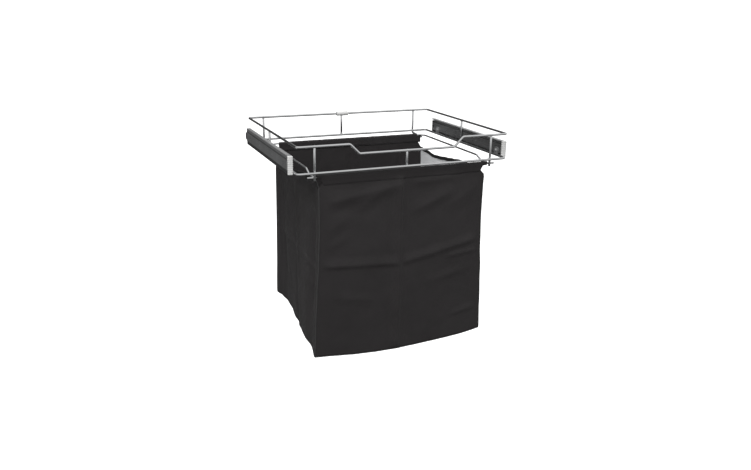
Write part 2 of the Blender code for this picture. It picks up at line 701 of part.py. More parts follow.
def make_bag_faces():
    """The front and back panels, which hang from their sleeves."""
    under_sleeve = SLEEVE_RADIUS + GAP
    corner_z = LOWER_RAIL_Z - BAG_FRONT_CORNER_DROP
    middle_z = LOWER_RAIL_Z - BAG_FRONT_MIDDLE_DROP
    rear_z = LOWER_RAIL_Z - BAG_REAR_DROP
    front_outline = bag_face_outline(ROD_Z - under_sleeve, corner_z, middle_z)
    rear_outline = bag_face_outline(BOW_Z - under_sleeve, rear_z, rear_z)
    front = plate("bag_front_panel", front_outline, CLOTH, upright_plane((0, BAG_FRONT_Y, 0)), "black_cloth")
    rear = plate("bag_rear_panel", rear_outline, CLOTH, upright_plane((0, BAG_REAR_Y, 0)), "black_cloth")
    return [front, rear]


def bag_side_outline():
    """A side panel, from the front: its top edge sinks towards the back and its foot rises."""
    clear = CLOTH / 2 + GAP
    front, rear = BAG_FRONT_Y + clear, BAG_REAR_Y - clear
    top_front, top_rear = LOWER_RAIL_Z - BAG_SIDE_TOP_FRONT, LOWER_RAIL_Z - BAG_SIDE_TOP_REAR
    span = rear - front
    outline = [
        (front, LOWER_RAIL_Z - BAG_FRONT_CORNER_DROP), (rear, LOWER_RAIL_Z - BAG_REAR_DROP),
    ]
    top_steps = 6
    for step in range(top_steps + 1):
        share = step / top_steps
        outline.append((rear - span * share, top_rear + (top_front - top_rear) * share * share))
    return outline


def make_bag_sides():
    """The two side panels and the tape that binds the top edge of each."""
    made = []
    outline = bag_side_outline()
    for word, side in (("left", -1), ("right", 1)):
        x = side * BAG_SIDE_INSET
        finish = "grey_cloth"
        plane = upright_plane((x, 0, 0), facing_side=True)
        made.append(plate(f"bag_{word}_panel", outline, CLOTH, plane, finish))
        lift = BINDING_RADIUS + GAP
        edge = [Vector((x, y, z + lift)) for y, z in outline[2:]]
        made.append(wire(f"bag_{word}_binding", edge, BINDING_RADIUS, finish="black_tape"))
    return made


def make_bag_bottom():
    """The bottom panel slopes up from the front foot to the back one."""
    clear = CLOTH / 2 + GAP
    half_width = BAG_SIDE_INSET - clear
    front = Vector((0, BAG_FRONT_Y + clear, LOWER_RAIL_Z - BAG_FRONT_CORNER_DROP + CLOTH))
    rear = Vector((0, BAG_REAR_Y - clear, LOWER_RAIL_Z - BAG_REAR_DROP + CLOTH))
    along = rear - front
    across = Vector((1, 0, 0))
    basis = Matrix((across, along.normalized(), across.cross(along.normalized()))).transposed()
    outline = [(-half_width, 0), (half_width, 0), (half_width, along.length), (-half_width, along.length)]
    matrix = Matrix.Translation(front) @ basis.to_4x4()
    return plate("bag_bottom_panel", outline, CLOTH, matrix, "black_cloth")


def make_bag_sleeves():
    """The two hems that the rod and the bow run through."""
    made = []
    for name, y, z in (("bag_front_sleeve", ROD_Y, ROD_Z), ("bag_rear_sleeve", BOW_REAR_Y, BOW_Z)):
        tube = rod_mesh(name, (0, y, z), (1, 0, 0), SLEEVE_RADIUS, 2 * SLEEVE_HALF_LENGTH, 16)
        sleeve = place(name, tube, "black_cloth")
        bore = rod_mesh("bore", (0, y, z), (1, 0, 0), HANGER_RADIUS + GAP, 4 * SLEEVE_HALF_LENGTH, 16)
        combine(sleeve, "bore", bore)
        made.append(sleeve)
    return made


def carry(body, pieces, origin):
    """Parent the pieces of a moving body to an empty on its joint's axis."""
    empty = bpy.data.objects.new(f"{body}_carrier", None)
    empty.location = origin
    PARTS.objects.link(empty)
    bpy.context.view_layer.update()
    for piece in pieces:
        piece.parent = empty
        piece.matrix_parent_inverse = empty.matrix_world.inverted()


def main():
    frame = [make_top_rail(), make_lower_rail(), make_rear_bumper()]
    frame += make_front_uprights() + make_rear_uprights() + make_side_uprights() + make_hanger()
    bag = make_bag_faces() + make_bag_sides() + [make_bag_bottom()] + make_bag_sleeves()
    bodies = {"basket": frame + bag}
    origins = {"basket": (0, SLIDE_FRONT_Y, SLIDE_Z), "cabinet": (0, SLIDE_FRONT_Y, SLIDE_Z)}
    for word, side in (("left", -1), ("right", 1)):
        for body, pieces in make_slide(word, side).items():
            bodies.setdefault(body, []).extend(pieces)
            origins.setdefault(body, (slide_x(side, SLIDE_THICKNESS / 2), SLIDE_FRONT_Y, SLIDE_Z))
        origins[f"{word}_lever"] = (slide_x(side, LEVER_DEPTH), slide_y(LEVER_START), SLIDE_Z)
    for body, pieces in bodies.items():
        carry(body, pieces, origins[body])


clear_scene()
PARTS = new_collection("pull_out_hamper")
CUTTERS = new_collection("cutters")
CUTTERS.hide_render = True
main()
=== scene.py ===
"""Looks of a pull-out laundry hamper: studio, chrome wire frame, ball-bearing slides and hanging bag.

Metres, +Z up, and -Y is the front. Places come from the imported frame, sizes from the classes' fields.
"""

import logging
import math
from collections.abc import Iterable, Sequence
from dataclasses import dataclass
from enum import Enum

import bmesh
import bpy
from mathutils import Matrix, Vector, noise


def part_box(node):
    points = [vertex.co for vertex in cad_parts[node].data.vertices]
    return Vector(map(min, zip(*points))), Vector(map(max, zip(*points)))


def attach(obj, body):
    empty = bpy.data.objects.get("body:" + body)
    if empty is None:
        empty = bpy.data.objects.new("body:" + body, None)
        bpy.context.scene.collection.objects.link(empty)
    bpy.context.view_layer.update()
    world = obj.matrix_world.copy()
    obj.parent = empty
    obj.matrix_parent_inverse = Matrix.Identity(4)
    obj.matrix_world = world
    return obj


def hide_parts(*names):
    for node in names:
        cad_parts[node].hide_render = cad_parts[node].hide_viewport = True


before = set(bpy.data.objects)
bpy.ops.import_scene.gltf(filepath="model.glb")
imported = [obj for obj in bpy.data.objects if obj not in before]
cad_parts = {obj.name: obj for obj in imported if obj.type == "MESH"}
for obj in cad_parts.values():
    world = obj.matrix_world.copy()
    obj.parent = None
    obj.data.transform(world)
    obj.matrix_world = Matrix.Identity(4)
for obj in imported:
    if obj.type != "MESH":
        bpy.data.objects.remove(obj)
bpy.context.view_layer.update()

log = logging.getLogger("hamper")

# Radii of the rails' wire and of the bag hanger's wire, then where the middles of the rails' wires run.
WIRE = 0.003
HANGER = 0.0025
LOWER_LOW, LOWER_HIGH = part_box("lower_rail")
LOWER_Z = LOWER_HIGH.z - WIRE
UPPER_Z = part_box("top_rail")[1].z - WIRE
FRONT_Y = LOWER_LOW.y + WIRE
REAR_Y = LOWER_HIGH.y - WIRE
SIDE_X = LOWER_HIGH.x - WIRE

Point = tuple[float, float, float]


# ---------------------------------------------------------------- node graphs


class Socket:
    """One value in a node tree. Arithmetic on it adds Math nodes to that tree."""

    def __init__(self, graph: "Graph", output: bpy.types.NodeSocket) -> None:
        """Wrap an output socket of the graph."""
        self.graph = graph
        self.output = output

    def math(self, operation: str, *operands: object) -> "Socket":
        """Put the operands through one Math node.

        Args:
            operation: The Math node's operation.
            operands: Numbers or sockets, in order.

        Returns:
            The node's result.
        """
        return self.graph.node("ShaderNodeMath", {"operation": operation}, dict(enumerate(operands)))

    def __add__(self, other: object) -> "Socket":
        """Return self + other."""
        return self.math("ADD", self, other)

    def __sub__(self, other: object) -> "Socket":
        """Return self - other."""
        return self.math("SUBTRACT", self, other)

    def __rsub__(self, other: object) -> "Socket":
        """Return other - self."""
        return self.math("SUBTRACT", other, self)

    def __mul__(self, other: object) -> "Socket":
        """Return self * other."""
        return self.math("MULTIPLY", self, other)

    def __truediv__(self, other: object) -> "Socket":
        """Return self / other."""
        return self.math("DIVIDE", self, other)

    __radd__ = __add__
    __rmul__ = __mul__

    def wave(self) -> "Socket":
        """Return the sine of this value in half turns, from 0 to 1 and back."""
        return self.math("ABSOLUTE", self.math("SINE", self * math.pi))

    def floor(self) -> "Socket":
        """Return the whole number below this value."""
        return self.math("FLOOR", self)

    def clamp(self, low: float, high: float) -> "Socket":
        """Return this value kept between two numbers."""
        return self.math("MINIMUM", self.math("MAXIMUM", self, low), high)


class Graph:
    """A node tree, with one way to add a node to it."""

    def __init__(self, tree: bpy.types.NodeTree) -> None:
        """Take the tree to build in."""
        self.tree = tree

    def node(
        self, kind: str, settings: dict | None = None, inputs: dict | None = None, out: object = 0,
    ) -> Socket:
        """Add a node.

        Args:
            kind: The node's type.
            settings: Properties, set first. The key "stops" holds a colour ramp's (place, colour) pairs.
            inputs: Values or sockets by the input's name or number.
            out: The output to return, by name or number.

        Returns:
            That output.
        """
        made = self.tree.nodes.new(kind)
        for name, value in (settings or {}).items():
            if name == "stops":
                self._fill_ramp(made.color_ramp, value)
            else:
                setattr(made, name, value)
        for key, value in (inputs or {}).items():
            if isinstance(value, Socket):
                self.tree.links.new(value.output, made.inputs[key])
            else:
                made.inputs[key].default_value = value
        return Socket(self, made.outputs[out])

    @staticmethod
    def _fill_ramp(ramp: bpy.types.ColorRamp, stops: Sequence[tuple[float, Sequence[float]]]) -> None:
        """Give a colour ramp its stops.

        Args:
            ramp: The ramp, as a new node has it.
            stops: The place and colour of each stop.
        """
        while len(ramp.elements) < len(stops):
            ramp.elements.new(1.0)
        for element, (place, colour) in zip(ramp.elements, stops):
            element.position = place
            element.color = (*colour[:3], 1.0)

    def mix(self, factor: object, first: object, second: object) -> Socket:
        """Mix two colours.

        Args:
            factor: Share of the second one.
            first: A colour of four numbers, or a socket.
            second: The other colour.

        Returns:
            The mixed colour.
        """
        return self.node(
            "ShaderNodeMix", {"data_type": "RGBA"}, {0: factor, 6: first, 7: second}, out=2,
        )

    def scaled(self, vector: Socket, factors: Point) -> Socket:
        """Return a vector with each axis multiplied by its factor."""
        return self.node("ShaderNodeVectorMath", {"operation": "MULTIPLY"}, {0: vector, 1: factors})

    def noise(self, vector: Socket, scale: float, detail: float = 3.0) -> Socket:
        """Return a cloudy value round 0.5 over a vector."""
        return self.node("ShaderNodeTexNoise", None, {"Vector": vector, "Scale": scale, "Detail": detail})

    def bump(self, height: Socket, distance: float, strength: float = 1.0) -> Socket:
        """Return a normal for a height map with its depth in metres."""
        values = {"Height": height, "Distance": distance, "Strength": strength}
        return self.node("ShaderNodeBump", None, values)

    def place(self, kind: str = "Object") -> Socket:
        """Return the surface's coordinates of this kind."""
        return self.node("ShaderNodeTexCoord", out=kind)

    def axis(self, vector: Socket, index: int) -> Socket:
        """Return one axis of a vector, by its number."""
        return self.node("ShaderNodeSeparateXYZ", None, {0: vector}, out=index)


# ---------------------------------------------------------------- finishes


def grey(value: float, tint: Point = (1.0, 1.0, 1.0)) -> tuple[float, float, float, float]:
    """Return a colour of this brightness, lightly tinted."""
    return (value * tint[0], value * tint[1], value * tint[2], 1.0)


@dataclass(frozen=True)
class Finish:
    """What a surface is made of. Each kind paints its own detail.

    Attributes:
        name: The material's name.
        slot: The record's material slot; not used.
        dark: Brightness of the darkest patches.
        light: Brightness of the lightest patches.
        roughness: Mean roughness.
        tint: Tint of the colour.
    """

    name: str
    slot: str
    dark: float
    light: float
    roughness: float
    tint: Point = (1.0, 1.0, 1.0)

    def constants(self) -> dict[str, float]:
        """Return the shader's own values that are the same all over."""
        return {}

    def paint(self, graph: Graph) -> dict[str, Socket]:
        """Return the sockets that vary over the surface, by the shader input's name."""
        raise NotImplementedError

    def material(self) -> bpy.types.Material:
        """Make this finish's material, or find the one made before.

        Returns:
            The material, with what varies linked to its shader.
        """
        made = bpy.data.materials.get(self.name)
        if made:
            return made
        made = bpy.data.materials.new(self.name)
        made.use_nodes = True
        shader = made.node_tree.nodes["Principled BSDF"]
        for name, value in self.constants().items():
            shader.inputs[name].default_value = value
        for name, socket in self.paint(Graph(made.node_tree)).items():
            made.node_tree.links.new(socket.output, shader.inputs[name])
        return made

    def colours(self) -> tuple[tuple, tuple]:
        """Return the darkest and the lightest colour."""
        return grey(self.dark, self.tint), grey(self.light, self.tint)


@dataclass(frozen=True)
class Chrome(Finish):
    """Bright plating over drawn wire: fine roughness marks, a fine bump and a slow ripple."""

    def constants(self) -> dict[str, float]:
        """Return the values of plated metal."""
        return {"Metallic": 1.0}

    def paint(self, graph: Graph) -> dict[str, Socket]:
        """Paint the ripple, the handling marks and their roughness.

        Args:
            graph: The material's nodes.

        Returns:
            What varies, by the shader input's name.
        """
        place = graph.place()
        cloud = graph.noise(place, 45.0)
        marks = graph.noise(place, 900.0, 2.0)
        dark, light = self.colours()
        return {
            "Base Color": graph.mix(cloud, dark, light),
            "Roughness": (cloud * 0.05 + marks * 0.05 + (self.roughness - 0.05)).clamp(0.03, 0.5),
            "Normal": graph.bump(graph.noise(place, 140.0), 0.00006),
        }


@dataclass(frozen=True)
class RolledZinc(Finish):
    """Zinc plate on cold-rolled strip: streaks along the length and a blotchy passivation.

    Attributes:
        crease: Height of the rolled creases above and below the strip's middle, or 0 for none.
        crease_half: How far the painted shade in a crease spreads.
        middle: Height of the strip's middle.
        lower_shade: How dark the painted shade on the lower raceway is, from 0 to 1.
        dip: Where along the closet's depth the strip's end is dipped in black, or 0 for nowhere.
        plating: How metallic the strip is.
        dip_grey: Brightness of the dipped end.
        dip_edge: How far the edge of the dip blurs.
    """

    crease: float = 0.0
    crease_half: float = 0.0022
    middle: float = 0.0
    lower_shade: float = 0.0
    dip: float = 0.0
    plating: float = 0.85
    dip_grey: float = 0.018
    dip_edge: float = 0.0006

    def constants(self) -> dict[str, float]:
        """Return the values of plated metal."""
        return {"Metallic": self.plating}

    def paint(self, graph: Graph) -> dict[str, Socket]:
        """Paint the streaks and blotches, the shade painted into the creases and onto the lower raceway, and
        the dipped end where the strip has them.

        Args:
            graph: The material's nodes.

        Returns:
            What varies, by the shader input's name.
        """
        place = graph.place()
        streak = graph.noise(graph.scaled(place, (900.0, 6.0, 900.0)), 1.0, 4.0)
        blotch = graph.noise(place, 38.0, 4.0)
        dark, light = self.colours()
        colour = graph.mix((streak * 0.55 + blotch * 0.6 - 0.1).clamp(0.0, 1.0), dark, light)
        if self.crease:
            # Painted shade: the creases and the lower raceway are darkened as if in the shadow of the rolled
            # steps and of the strip itself.
            shade_grey = grey(self.dark * 0.16, self.tint)
            colour = graph.mix(self.painted_shade(graph, place, streak), colour, shade_grey)
        painted = {
            "Roughness": (streak * 0.16 + blotch * 0.12 + (self.roughness - 0.14)).clamp(0.1, 0.8),
            "Normal": graph.bump(streak, 0.00005),
        }
        if self.dip:
            dipped = ((graph.axis(place, 1) - self.dip) / self.dip_edge).clamp(0.0, 1.0)
            colour = graph.mix(dipped, colour, grey(self.dip_grey))
            painted["Metallic"] = (1.0 - dipped) * self.plating
        return {"Base Color": colour, **painted}

    def painted_shade(self, graph: Graph, place: Socket, streak: Socket) -> Socket:
        """Find where shade is painted on the strip: dark lines in the two creases for the shadow of their
        steps, and the lower raceway, painted as if in shadow from above.

        Args:
            graph: The material's nodes.
            place: Object coordinates.
            streak: The rolling streaks, which break up the painted crease shade.

        Returns:
            How much painted shade, from 0 to 1.
        """
        level = graph.axis(place, 2) - self.middle
        gap = level.math("ABSOLUTE", level.math("ABSOLUTE", level) - self.crease)
        # Painted shade along the two creases, broken up a little by the streaks.
        crease_shade = (1.4 - gap / self.crease_half).clamp(0.0, 1.0)
        # Painted shade on the lower raceway, which faces down.
        low = ((-self.crease - level) / 0.002).clamp(0.0, 1.0) * self.lower_shade
        return crease_shade.math("MAXIMUM", crease_shade * (0.55 + streak * 0.4), low)


@dataclass(frozen=True)
class Moulded(Finish):
    """Injection-moulded plastic with a fine spark grain."""

    def paint(self, graph: Graph) -> dict[str, Socket]:
        """Paint the grain and a faint flow pattern.

        Args:
            graph: The material's nodes.

        Returns:
            What varies, by the shader input's name.
        """
        place = graph.place()
        grain = graph.noise(place, 1800.0, 2.0)
        flow = graph.noise(place, 70.0)
        dark, light = self.colours()
        return {
            "Base Color": graph.mix(flow, dark, light),
            "Roughness": (grain * 0.14 + flow * 0.08 + (self.roughness - 0.11)).clamp(0.1, 0.9),
            "Normal": graph.bump(grain, 0.00008, 0.6),
        }


@dataclass(frozen=True)
class Woven(Finish):
    """Plain-woven polyester: warp over weft on the cloth's own map, in metres.

    Attributes:
        pitch: Distance between threads.
        relief: How far a thread stands out.
    """

    pitch: float = 0.0011
    relief: float = 0.00022

    def constants(self) -> dict[str, float]:
        """Return the values of matt cloth with a little sheen."""
        return {"Sheen Weight": 0.05, "Sheen Roughness": 0.4, "Specular IOR Level": 0.22}

    def paint(self, graph: Graph) -> dict[str, Socket]:
        """Paint threads that cross over and under each other, each a little different, with painted highlight
        on their crowns and painted shade between them.

        Args:
            graph: The material's nodes.

        Returns:
            What varies, by the shader input's name.
        """
        chart = graph.place("UV")
        across = graph.axis(chart, 0) / self.pitch
        along = graph.axis(chart, 1) / self.pitch
        parity = across.math("PINGPONG", across.floor() + along.floor(), 1.0)
        height = across.wave() * parity + along.wave() * (1.0 - parity)
        threads = graph.noise(graph.scaled(chart, (60.0, 900.0, 1.0)), 1.0, 2.0)
        cloud = graph.noise(chart, 14.0, 4.0)
        dark, light = self.colours()
        # Painted highlight and shade: each thread's crown is lighter and the dips between threads darker,
        # mixed with random thread tone.
        share = (height * 0.45 + threads * 0.35 + cloud * 0.3 - 0.05).clamp(0.0, 1.0)
        return {
            "Base Color": graph.mix(share, dark, light),
            "Roughness": (cloud * 0.2 + threads * 0.1 + (self.roughness - 0.15)).clamp(0.2, 1.0),
            "Normal": graph.bump(height, self.relief, 0.7),
        }


@dataclass(frozen=True)
class Ribbed(Finish):
    """Grosgrain tape or twisted thread: ribs over Object coordinates.

    Attributes:
        pitch: Distance between ribs.
    """

    pitch: float = 0.0012

    def paint(self, graph: Graph) -> dict[str, Socket]:
        """Paint ribs across the length, with painted highlight on their crowns and painted shade between
        them.

        Args:
            graph: The material's nodes.

        Returns:
            What varies, by the shader input's name.
        """
        place = graph.place()
        ribs = (graph.axis(place, 1) / self.pitch).wave()
        fuzz = graph.noise(place, 2200.0, 2.0)
        dark, light = self.colours()
        return {
            # Painted highlight and shade: the crowns of the ribs are lighter and the grooves between them
            # darker, mixed with random fuzz.
            "Base Color": graph.mix((ribs * 0.6 + fuzz * 0.4).clamp(0.0, 1.0), dark, light),
            "Roughness": (fuzz * 0.2 + (self.roughness - 0.1)).clamp(0.2, 1.0),
            "Normal": graph.bump(ribs + fuzz * 0.4, 0.0002, 0.8),
        }


COOL = (0.98, 0.99, 1.0)
SLIDE_LOW, SLIDE_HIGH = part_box("left_cabinet_member")
# How much of a slide's rear end is dipped in black.
TONGUE = 0.0122

CHROME = Chrome("chrome_plate", "chrome_wire", 0.68, 0.80, 0.09, COOL)
# The cabinet members: painted shade in the two creases and on the lower raceway, and a rear end dipped in
# black.
STRIP = RolledZinc(
    "rolled_zinc", "zinc_steel", 0.48, 0.70, 0.36, COOL,
    crease=0.0138, crease_half=0.0018, middle=(SLIDE_LOW.z + SLIDE_HIGH.z) / 2, lower_shade=0.80,
    dip=SLIDE_HIGH.y - TONGUE,
)
CAGE_ZINC = RolledZinc("cage_zinc", "zinc_steel", 0.16, 0.28, 0.40, COOL)
# The intermediate and basket members: the same zinc painted darker, as painted shade for the channel that
# keeps light off them.
INNER_STRIP = RolledZinc("rolled_zinc_oiled", "zinc_steel", 0.24, 0.40, 0.30, COOL)
BALL_STEEL = Chrome("ball_steel", "zinc_steel", 0.45, 0.55, 0.14, COOL)
FASTENER = RolledZinc("fastener_zinc", "zinc_steel", 0.50, 0.66, 0.30, COOL)
WHITE_PLASTIC = Moulded("white_nylon", "white_plastic", 0.57, 0.64, 0.42, (1.0, 1.0, 0.99))
BLACK_PLASTIC = Moulded("black_nylon", "black_plastic", 0.018, 0.030, 0.42)
SHELL_CLOTH = Woven("black_weave", "black_cloth", 0.013, 0.038, 0.55, (1.0, 0.92, 0.945))
INNER_CLOTH = Woven("black_weave_inside", "black_cloth", 0.013, 0.036, 0.80, (1.0, 0.92, 0.94))
LINING = Woven("grey_lining", "lined_cloth", 0.66, 0.82, 0.85, (0.98, 0.99, 1.0))
TAPE = Ribbed("black_grosgrain", "black_tape", 0.006, 0.018, 0.75)
THREAD = Ribbed("black_thread", "black_cloth", 0.020, 0.050, 0.60)


# ---------------------------------------------------------------- shared geometry tools


class Tool(Enum):
    """The geometry trees that the pieces are made with."""

    ROUND_WIRE = "round_wire"
    DOTS = "dots"
    STITCHES = "stitches"


class GeometryTool:
    """Builds each geometry tree once and applies it to a base mesh.

    Attributes:
        trees: The trees built so far.
        sizes: Names and kinds of the sizes that every tree takes.
    """

    trees: dict[Tool, bpy.types.NodeTree] = {}
    sizes = (("Radius", "Float"), ("Length", "Float"), ("Pitch", "Float"), ("Sides", "Int"))

    @classmethod
    def tree(cls, tool: Tool) -> bpy.types.NodeTree:
        """Build a tool's tree, or find the one built before.

        Args:
            tool: The tool.

        Returns:
            The tree, with inputs for the sizes and the finish.
        """
        if tool in cls.trees:
            return cls.trees[tool]
        made = bpy.data.node_groups.new(tool.value, "GeometryNodeTree")
        made.interface.new_socket("Geometry", in_out="INPUT", socket_type="NodeSocketGeometry")
        made.interface.new_socket("Geometry", in_out="OUTPUT", socket_type="NodeSocketGeometry")
        for name, kind in (*cls.sizes, ("Finish", "Material")):
            made.interface.new_socket(name, in_out="INPUT", socket_type=f"NodeSocket{kind}")
        graph = Graph(made)
        source = made.nodes.new("NodeGroupInput")
        given = {socket.name: Socket(graph, socket) for socket in source.outputs if socket.name}
        bodies = {
            Tool.ROUND_WIRE: cls._round_wire, Tool.DOTS: cls._dots, Tool.STITCHES: cls._stitches,
        }
        shape = bodies[tool](graph, given)
        smooth = graph.node("GeometryNodeSetShadeSmooth", None, {"Geometry": shape})
        real = graph.node("GeometryNodeRealizeInstances", None, {"Geometry": smooth})
        worn = {"Geometry": real, "Material": given["Finish"]}
        dressed = graph.node("GeometryNodeSetMaterial", None, worn)
        sink = made.nodes.new("NodeGroupOutput")
        made.links.new(dressed.output, sink.inputs[0])
        cls.trees[tool] = made
        return made

    @staticmethod
    def _round_wire(graph: Graph, given: dict[str, Socket]) -> Socket:
        """Sweep a circle along the base's edges, thinned where its taper attribute says so.

        Args:
            graph: The tree to build in.
            given: The tree's inputs by name.

        Returns:
            The swept geometry.
        """
        path = graph.node("GeometryNodeMeshToCurve", None, {"Mesh": given["Geometry"]})
        ring = {"Resolution": given["Sides"], "Radius": given["Radius"]}
        circle = graph.node("GeometryNodeCurvePrimitiveCircle", None, ring)
        taper = graph.node("GeometryNodeInputNamedAttribute", {"data_type": "FLOAT"}, {"Name": "taper"})
        return graph.node(
            "GeometryNodeCurveToMesh", None,
            {"Curve": path, "Profile Curve": circle, "Scale": taper, "Fill Caps": True},
        )

    @staticmethod
    def _dots(graph: Graph, given: dict[str, Socket]) -> Socket:
        """Put a ball on every point of the base, stretched by its stretch attribute.

        Args:
            graph: The tree to build in.
            given: The tree's inputs by name.

        Returns:
            The balls, as instances.
        """
        round_ball = {"Segments": given["Sides"], "Rings": 10, "Radius": given["Radius"]}
        ball = graph.node("GeometryNodeMeshUVSphere", None, round_ball)
        kind = {"data_type": "FLOAT_VECTOR"}
        stretch = graph.node("GeometryNodeInputNamedAttribute", kind, {"Name": "stretch"})
        spread = {"Points": given["Geometry"], "Instance": ball, "Scale": stretch}
        return graph.node("GeometryNodeInstanceOnPoints", None, spread)

    @staticmethod
    def _stitches(graph: Graph, given: dict[str, Socket]) -> Socket:
        """Lay a short thread at every pitch along the base's edges.

        Args:
            graph: The tree to build in.
            given: The tree's inputs by name.

        Returns:
            The threads, as instances.
        """
        path = graph.node("GeometryNodeMeshToCurve", None, {"Mesh": given["Geometry"]})
        spaced = {"Curve": path, "Length": given["Pitch"]}
        spots = graph.node("GeometryNodeCurveToPoints", {"mode": "LENGTH"}, spaced)
        turn = Socket(graph, spots.output.node.outputs["Rotation"])
        round_thread = {"Segments": given["Sides"], "Rings": 6, "Radius": 1.0}
        thread = graph.node("GeometryNodeMeshUVSphere", None, round_thread)
        thick = given["Radius"]
        size = graph.node("ShaderNodeCombineXYZ", None, {0: thick, 1: thick, 2: given["Length"] * 0.5})
        return graph.node(
            "GeometryNodeInstanceOnPoints", None,
            {"Points": spots, "Instance": thread, "Rotation": turn, "Scale": size},
        )

    @classmethod
    def make(
        cls, tool: Tool, name: str, base: bpy.types.Mesh, finish: Finish, **sizes: float,
    ) -> bpy.types.Object:
        """Apply a tool to a base mesh and bake it.

        Args:
            tool: The tree to use.
            name: The piece's name.
            base: Points or edges that the tool works on.
            finish: The piece's finish.
            sizes: The tree's named inputs, in lower case.

        Returns:
            A plain mesh object at the origin.
        """
        tree = cls.tree(tool)
        source = linked(f"{name}_base", base)
        modifier = source.modifiers.new(tool.value, "NODES")
        modifier.node_group = tree
        values = {"sides": 16, "length": 0.003, "pitch": 0.004, "finish": finish.material(), **sizes}
        for item in tree.interface.items_tree:
            if item.in_out == "INPUT" and item.name.lower() in values:
                modifier[item.identifier] = values[item.name.lower()]
        return baked(source, name)


def linked(name: str, data: bpy.types.ID) -> bpy.types.Object:
    """Make an object and put it in the scene.

    Args:
        name: Its name.
        data: Its mesh, camera or light.

    Returns:
        The object.
    """
    obj = bpy.data.objects.new(name, data)
    bpy.context.scene.collection.objects.link(obj)
    return obj


def baked(source: bpy.types.Object, name: str) -> bpy.types.Object:
    """Turn an object with modifiers into a plain mesh object, and remove the first.

    Args:
        source: The object to evaluate.
        name: The new object's name.

    Returns:
        The plain object.
    """
    graph = bpy.context.evaluated_depsgraph_get()
    mesh = bpy.data.meshes.new_from_object(source.evaluated_get(graph))
    mesh.name = name
    bpy.data.objects.remove(source, do_unlink=True)
    return linked(name, mesh)


def arcs(
    corners: Sequence[Point], radii: Sequence[float], closed: bool = False, steps: int = 10,
) -> list[Vector]:
    """Return a path through the corners with each one rounded.

    Args:
        corners: The sharp path.
        radii: The radius at each corner; an open path's ends are left alone.
        closed: Whether the last corner joins the first.
        steps: Points to a right angle.

    Returns:
        The rounded path.
    """
    points = []
    count = len(corners)
    for index, corner in enumerate(corners):
        here = Vector(corner)
        if not closed and index in (0, count - 1):
            points.append(here)
            continue
        back = (Vector(corners[index - 1]) - here).normalized()
        ahead = (Vector(corners[(index + 1) % count]) - here).normalized()
        half = back.angle(ahead) / 2
        centre = here + (back + ahead).normalized() * (radii[index] / math.sin(half))
        start = here + back * (radii[index] / math.tan(half)) - centre
        end = here + ahead * (radii[index] / math.tan(half)) - centre
        turns = max(3, round(steps * start.angle(end) / (math.pi / 2)))
        points += [centre + start.slerp(end, step / turns) * radii[index] for step in range(turns + 1)]
    return points


def path_mesh(paths: Iterable[Sequence[Vector]], closed: bool = False, tip: float = 0.0) -> bpy.types.Mesh:
    """Make a mesh of edges along some paths.

    Args:
        paths: The points of each path.
        closed: Whether each path closes on itself.
        tip: Length over which an open path's ends are rounded off.

    Returns:
        The mesh, with the taper attribute that the round-wire tool reads.
    """
    points, edges, taper = [], [], []
    for path in paths:
        path = [Vector(point) for point in path]
        scales = [1.0] * len(path)
        if tip:
            for _ in range(2):
                direction = (path[1] - path[0]).normalized()
                path[0:1] = [path[0], path[0] + direction * (0.3 * tip), path[0] + direction * tip]
                scales[0:1] = [0.62, 0.88, 1.0]
                path.reverse()
                scales.reverse()
        first = len(points)
        points += path
        taper += scales
        edges += [(first + i, first + i + 1) for i in range(len(path) - 1)]
        if closed:
            edges.append((first + len(path) - 1, first))
    mesh = bpy.data.meshes.new("path")
    mesh.from_pydata(points, edges, [])
    mesh.attributes.new("taper", "FLOAT", "POINT").data.foreach_set("value", taper)
    return mesh


def dot_mesh(dots: Sequence[tuple[Vector, Point]]) -> bpy.types.Mesh:
    """Make a mesh of loose points.

    Args:
        dots: Each point's place and how far its ball is stretched along each axis.

    Returns:
        The mesh, with the stretch attribute that the dots tool reads.
    """
    mesh = bpy.data.meshes.new("dots")
    mesh.from_pydata([place for place, _ in dots], [], [])
    stretches = [number for _, stretch in dots for number in stretch]
    mesh.attributes.new("stretch", "FLOAT_VECTOR", "POINT").data.foreach_set("vector", stretches)
    return mesh


def mesh_of(bm: bmesh.types.BMesh, name: str, *finishes: Finish) -> bpy.types.Mesh:
    """Turn a bmesh into a smooth mesh, and free it.

    Args:
        bm: The bmesh.
        name: The mesh's name.
        finishes: What its material numbers stand for.

    Returns:
        The mesh.
    """
    mesh = bpy.data.meshes.new(name)
    bm.to_mesh(mesh)
    bm.free()
    mesh.shade_smooth()
    for finish in finishes:
        mesh.materials.append(finish.material())
    return mesh


def bridge(bm: bmesh.types.BMesh, rings: Sequence[Sequence], closed: bool, flip: bool = False) -> None:
    """Join rows of points with quads.

    Args:
        bm: The bmesh that holds the points.
        rings: Rows with as many points each.
        closed: Whether a row's last point joins its first.
        flip: Whether the quads face the other way.
    """
    for first, second in zip(rings, rings[1:]):
        for index in range(len(first) - (not closed)):
            after = (index + 1) % len(first)
            quad = (first[index], first[after], second[after], second[index])
            bm.faces.new(quad[::-1] if flip else quad)


def thickened(
    mesh: bpy.types.Mesh, name: str, wall: float, inward: bool = False, rounded: bool = False,
) -> bpy.types.Object:
    """Give a sheet its thickness.

    Args:
        mesh: The sheet.
        name: The piece's name.
        wall: The thickness.
        inward: Whether the sheet is the outside, with its inside in the next material.
        rounded: Whether the edges are rounded off.

    Returns:
        A plain mesh object.
    """
    source = linked(f"{name}_base", mesh)
    solid = source.modifiers.new("wall", "SOLIDIFY")
    solid.thickness = wall
    solid.offset = -1.0 if inward else 0.0
    solid.material_offset = 1 if inward else 0
    if rounded:
        soft = source.modifiers.new("soft", "SUBSURF")
        soft.levels = 1
        soft.render_levels = 1
    return baked(source, name)


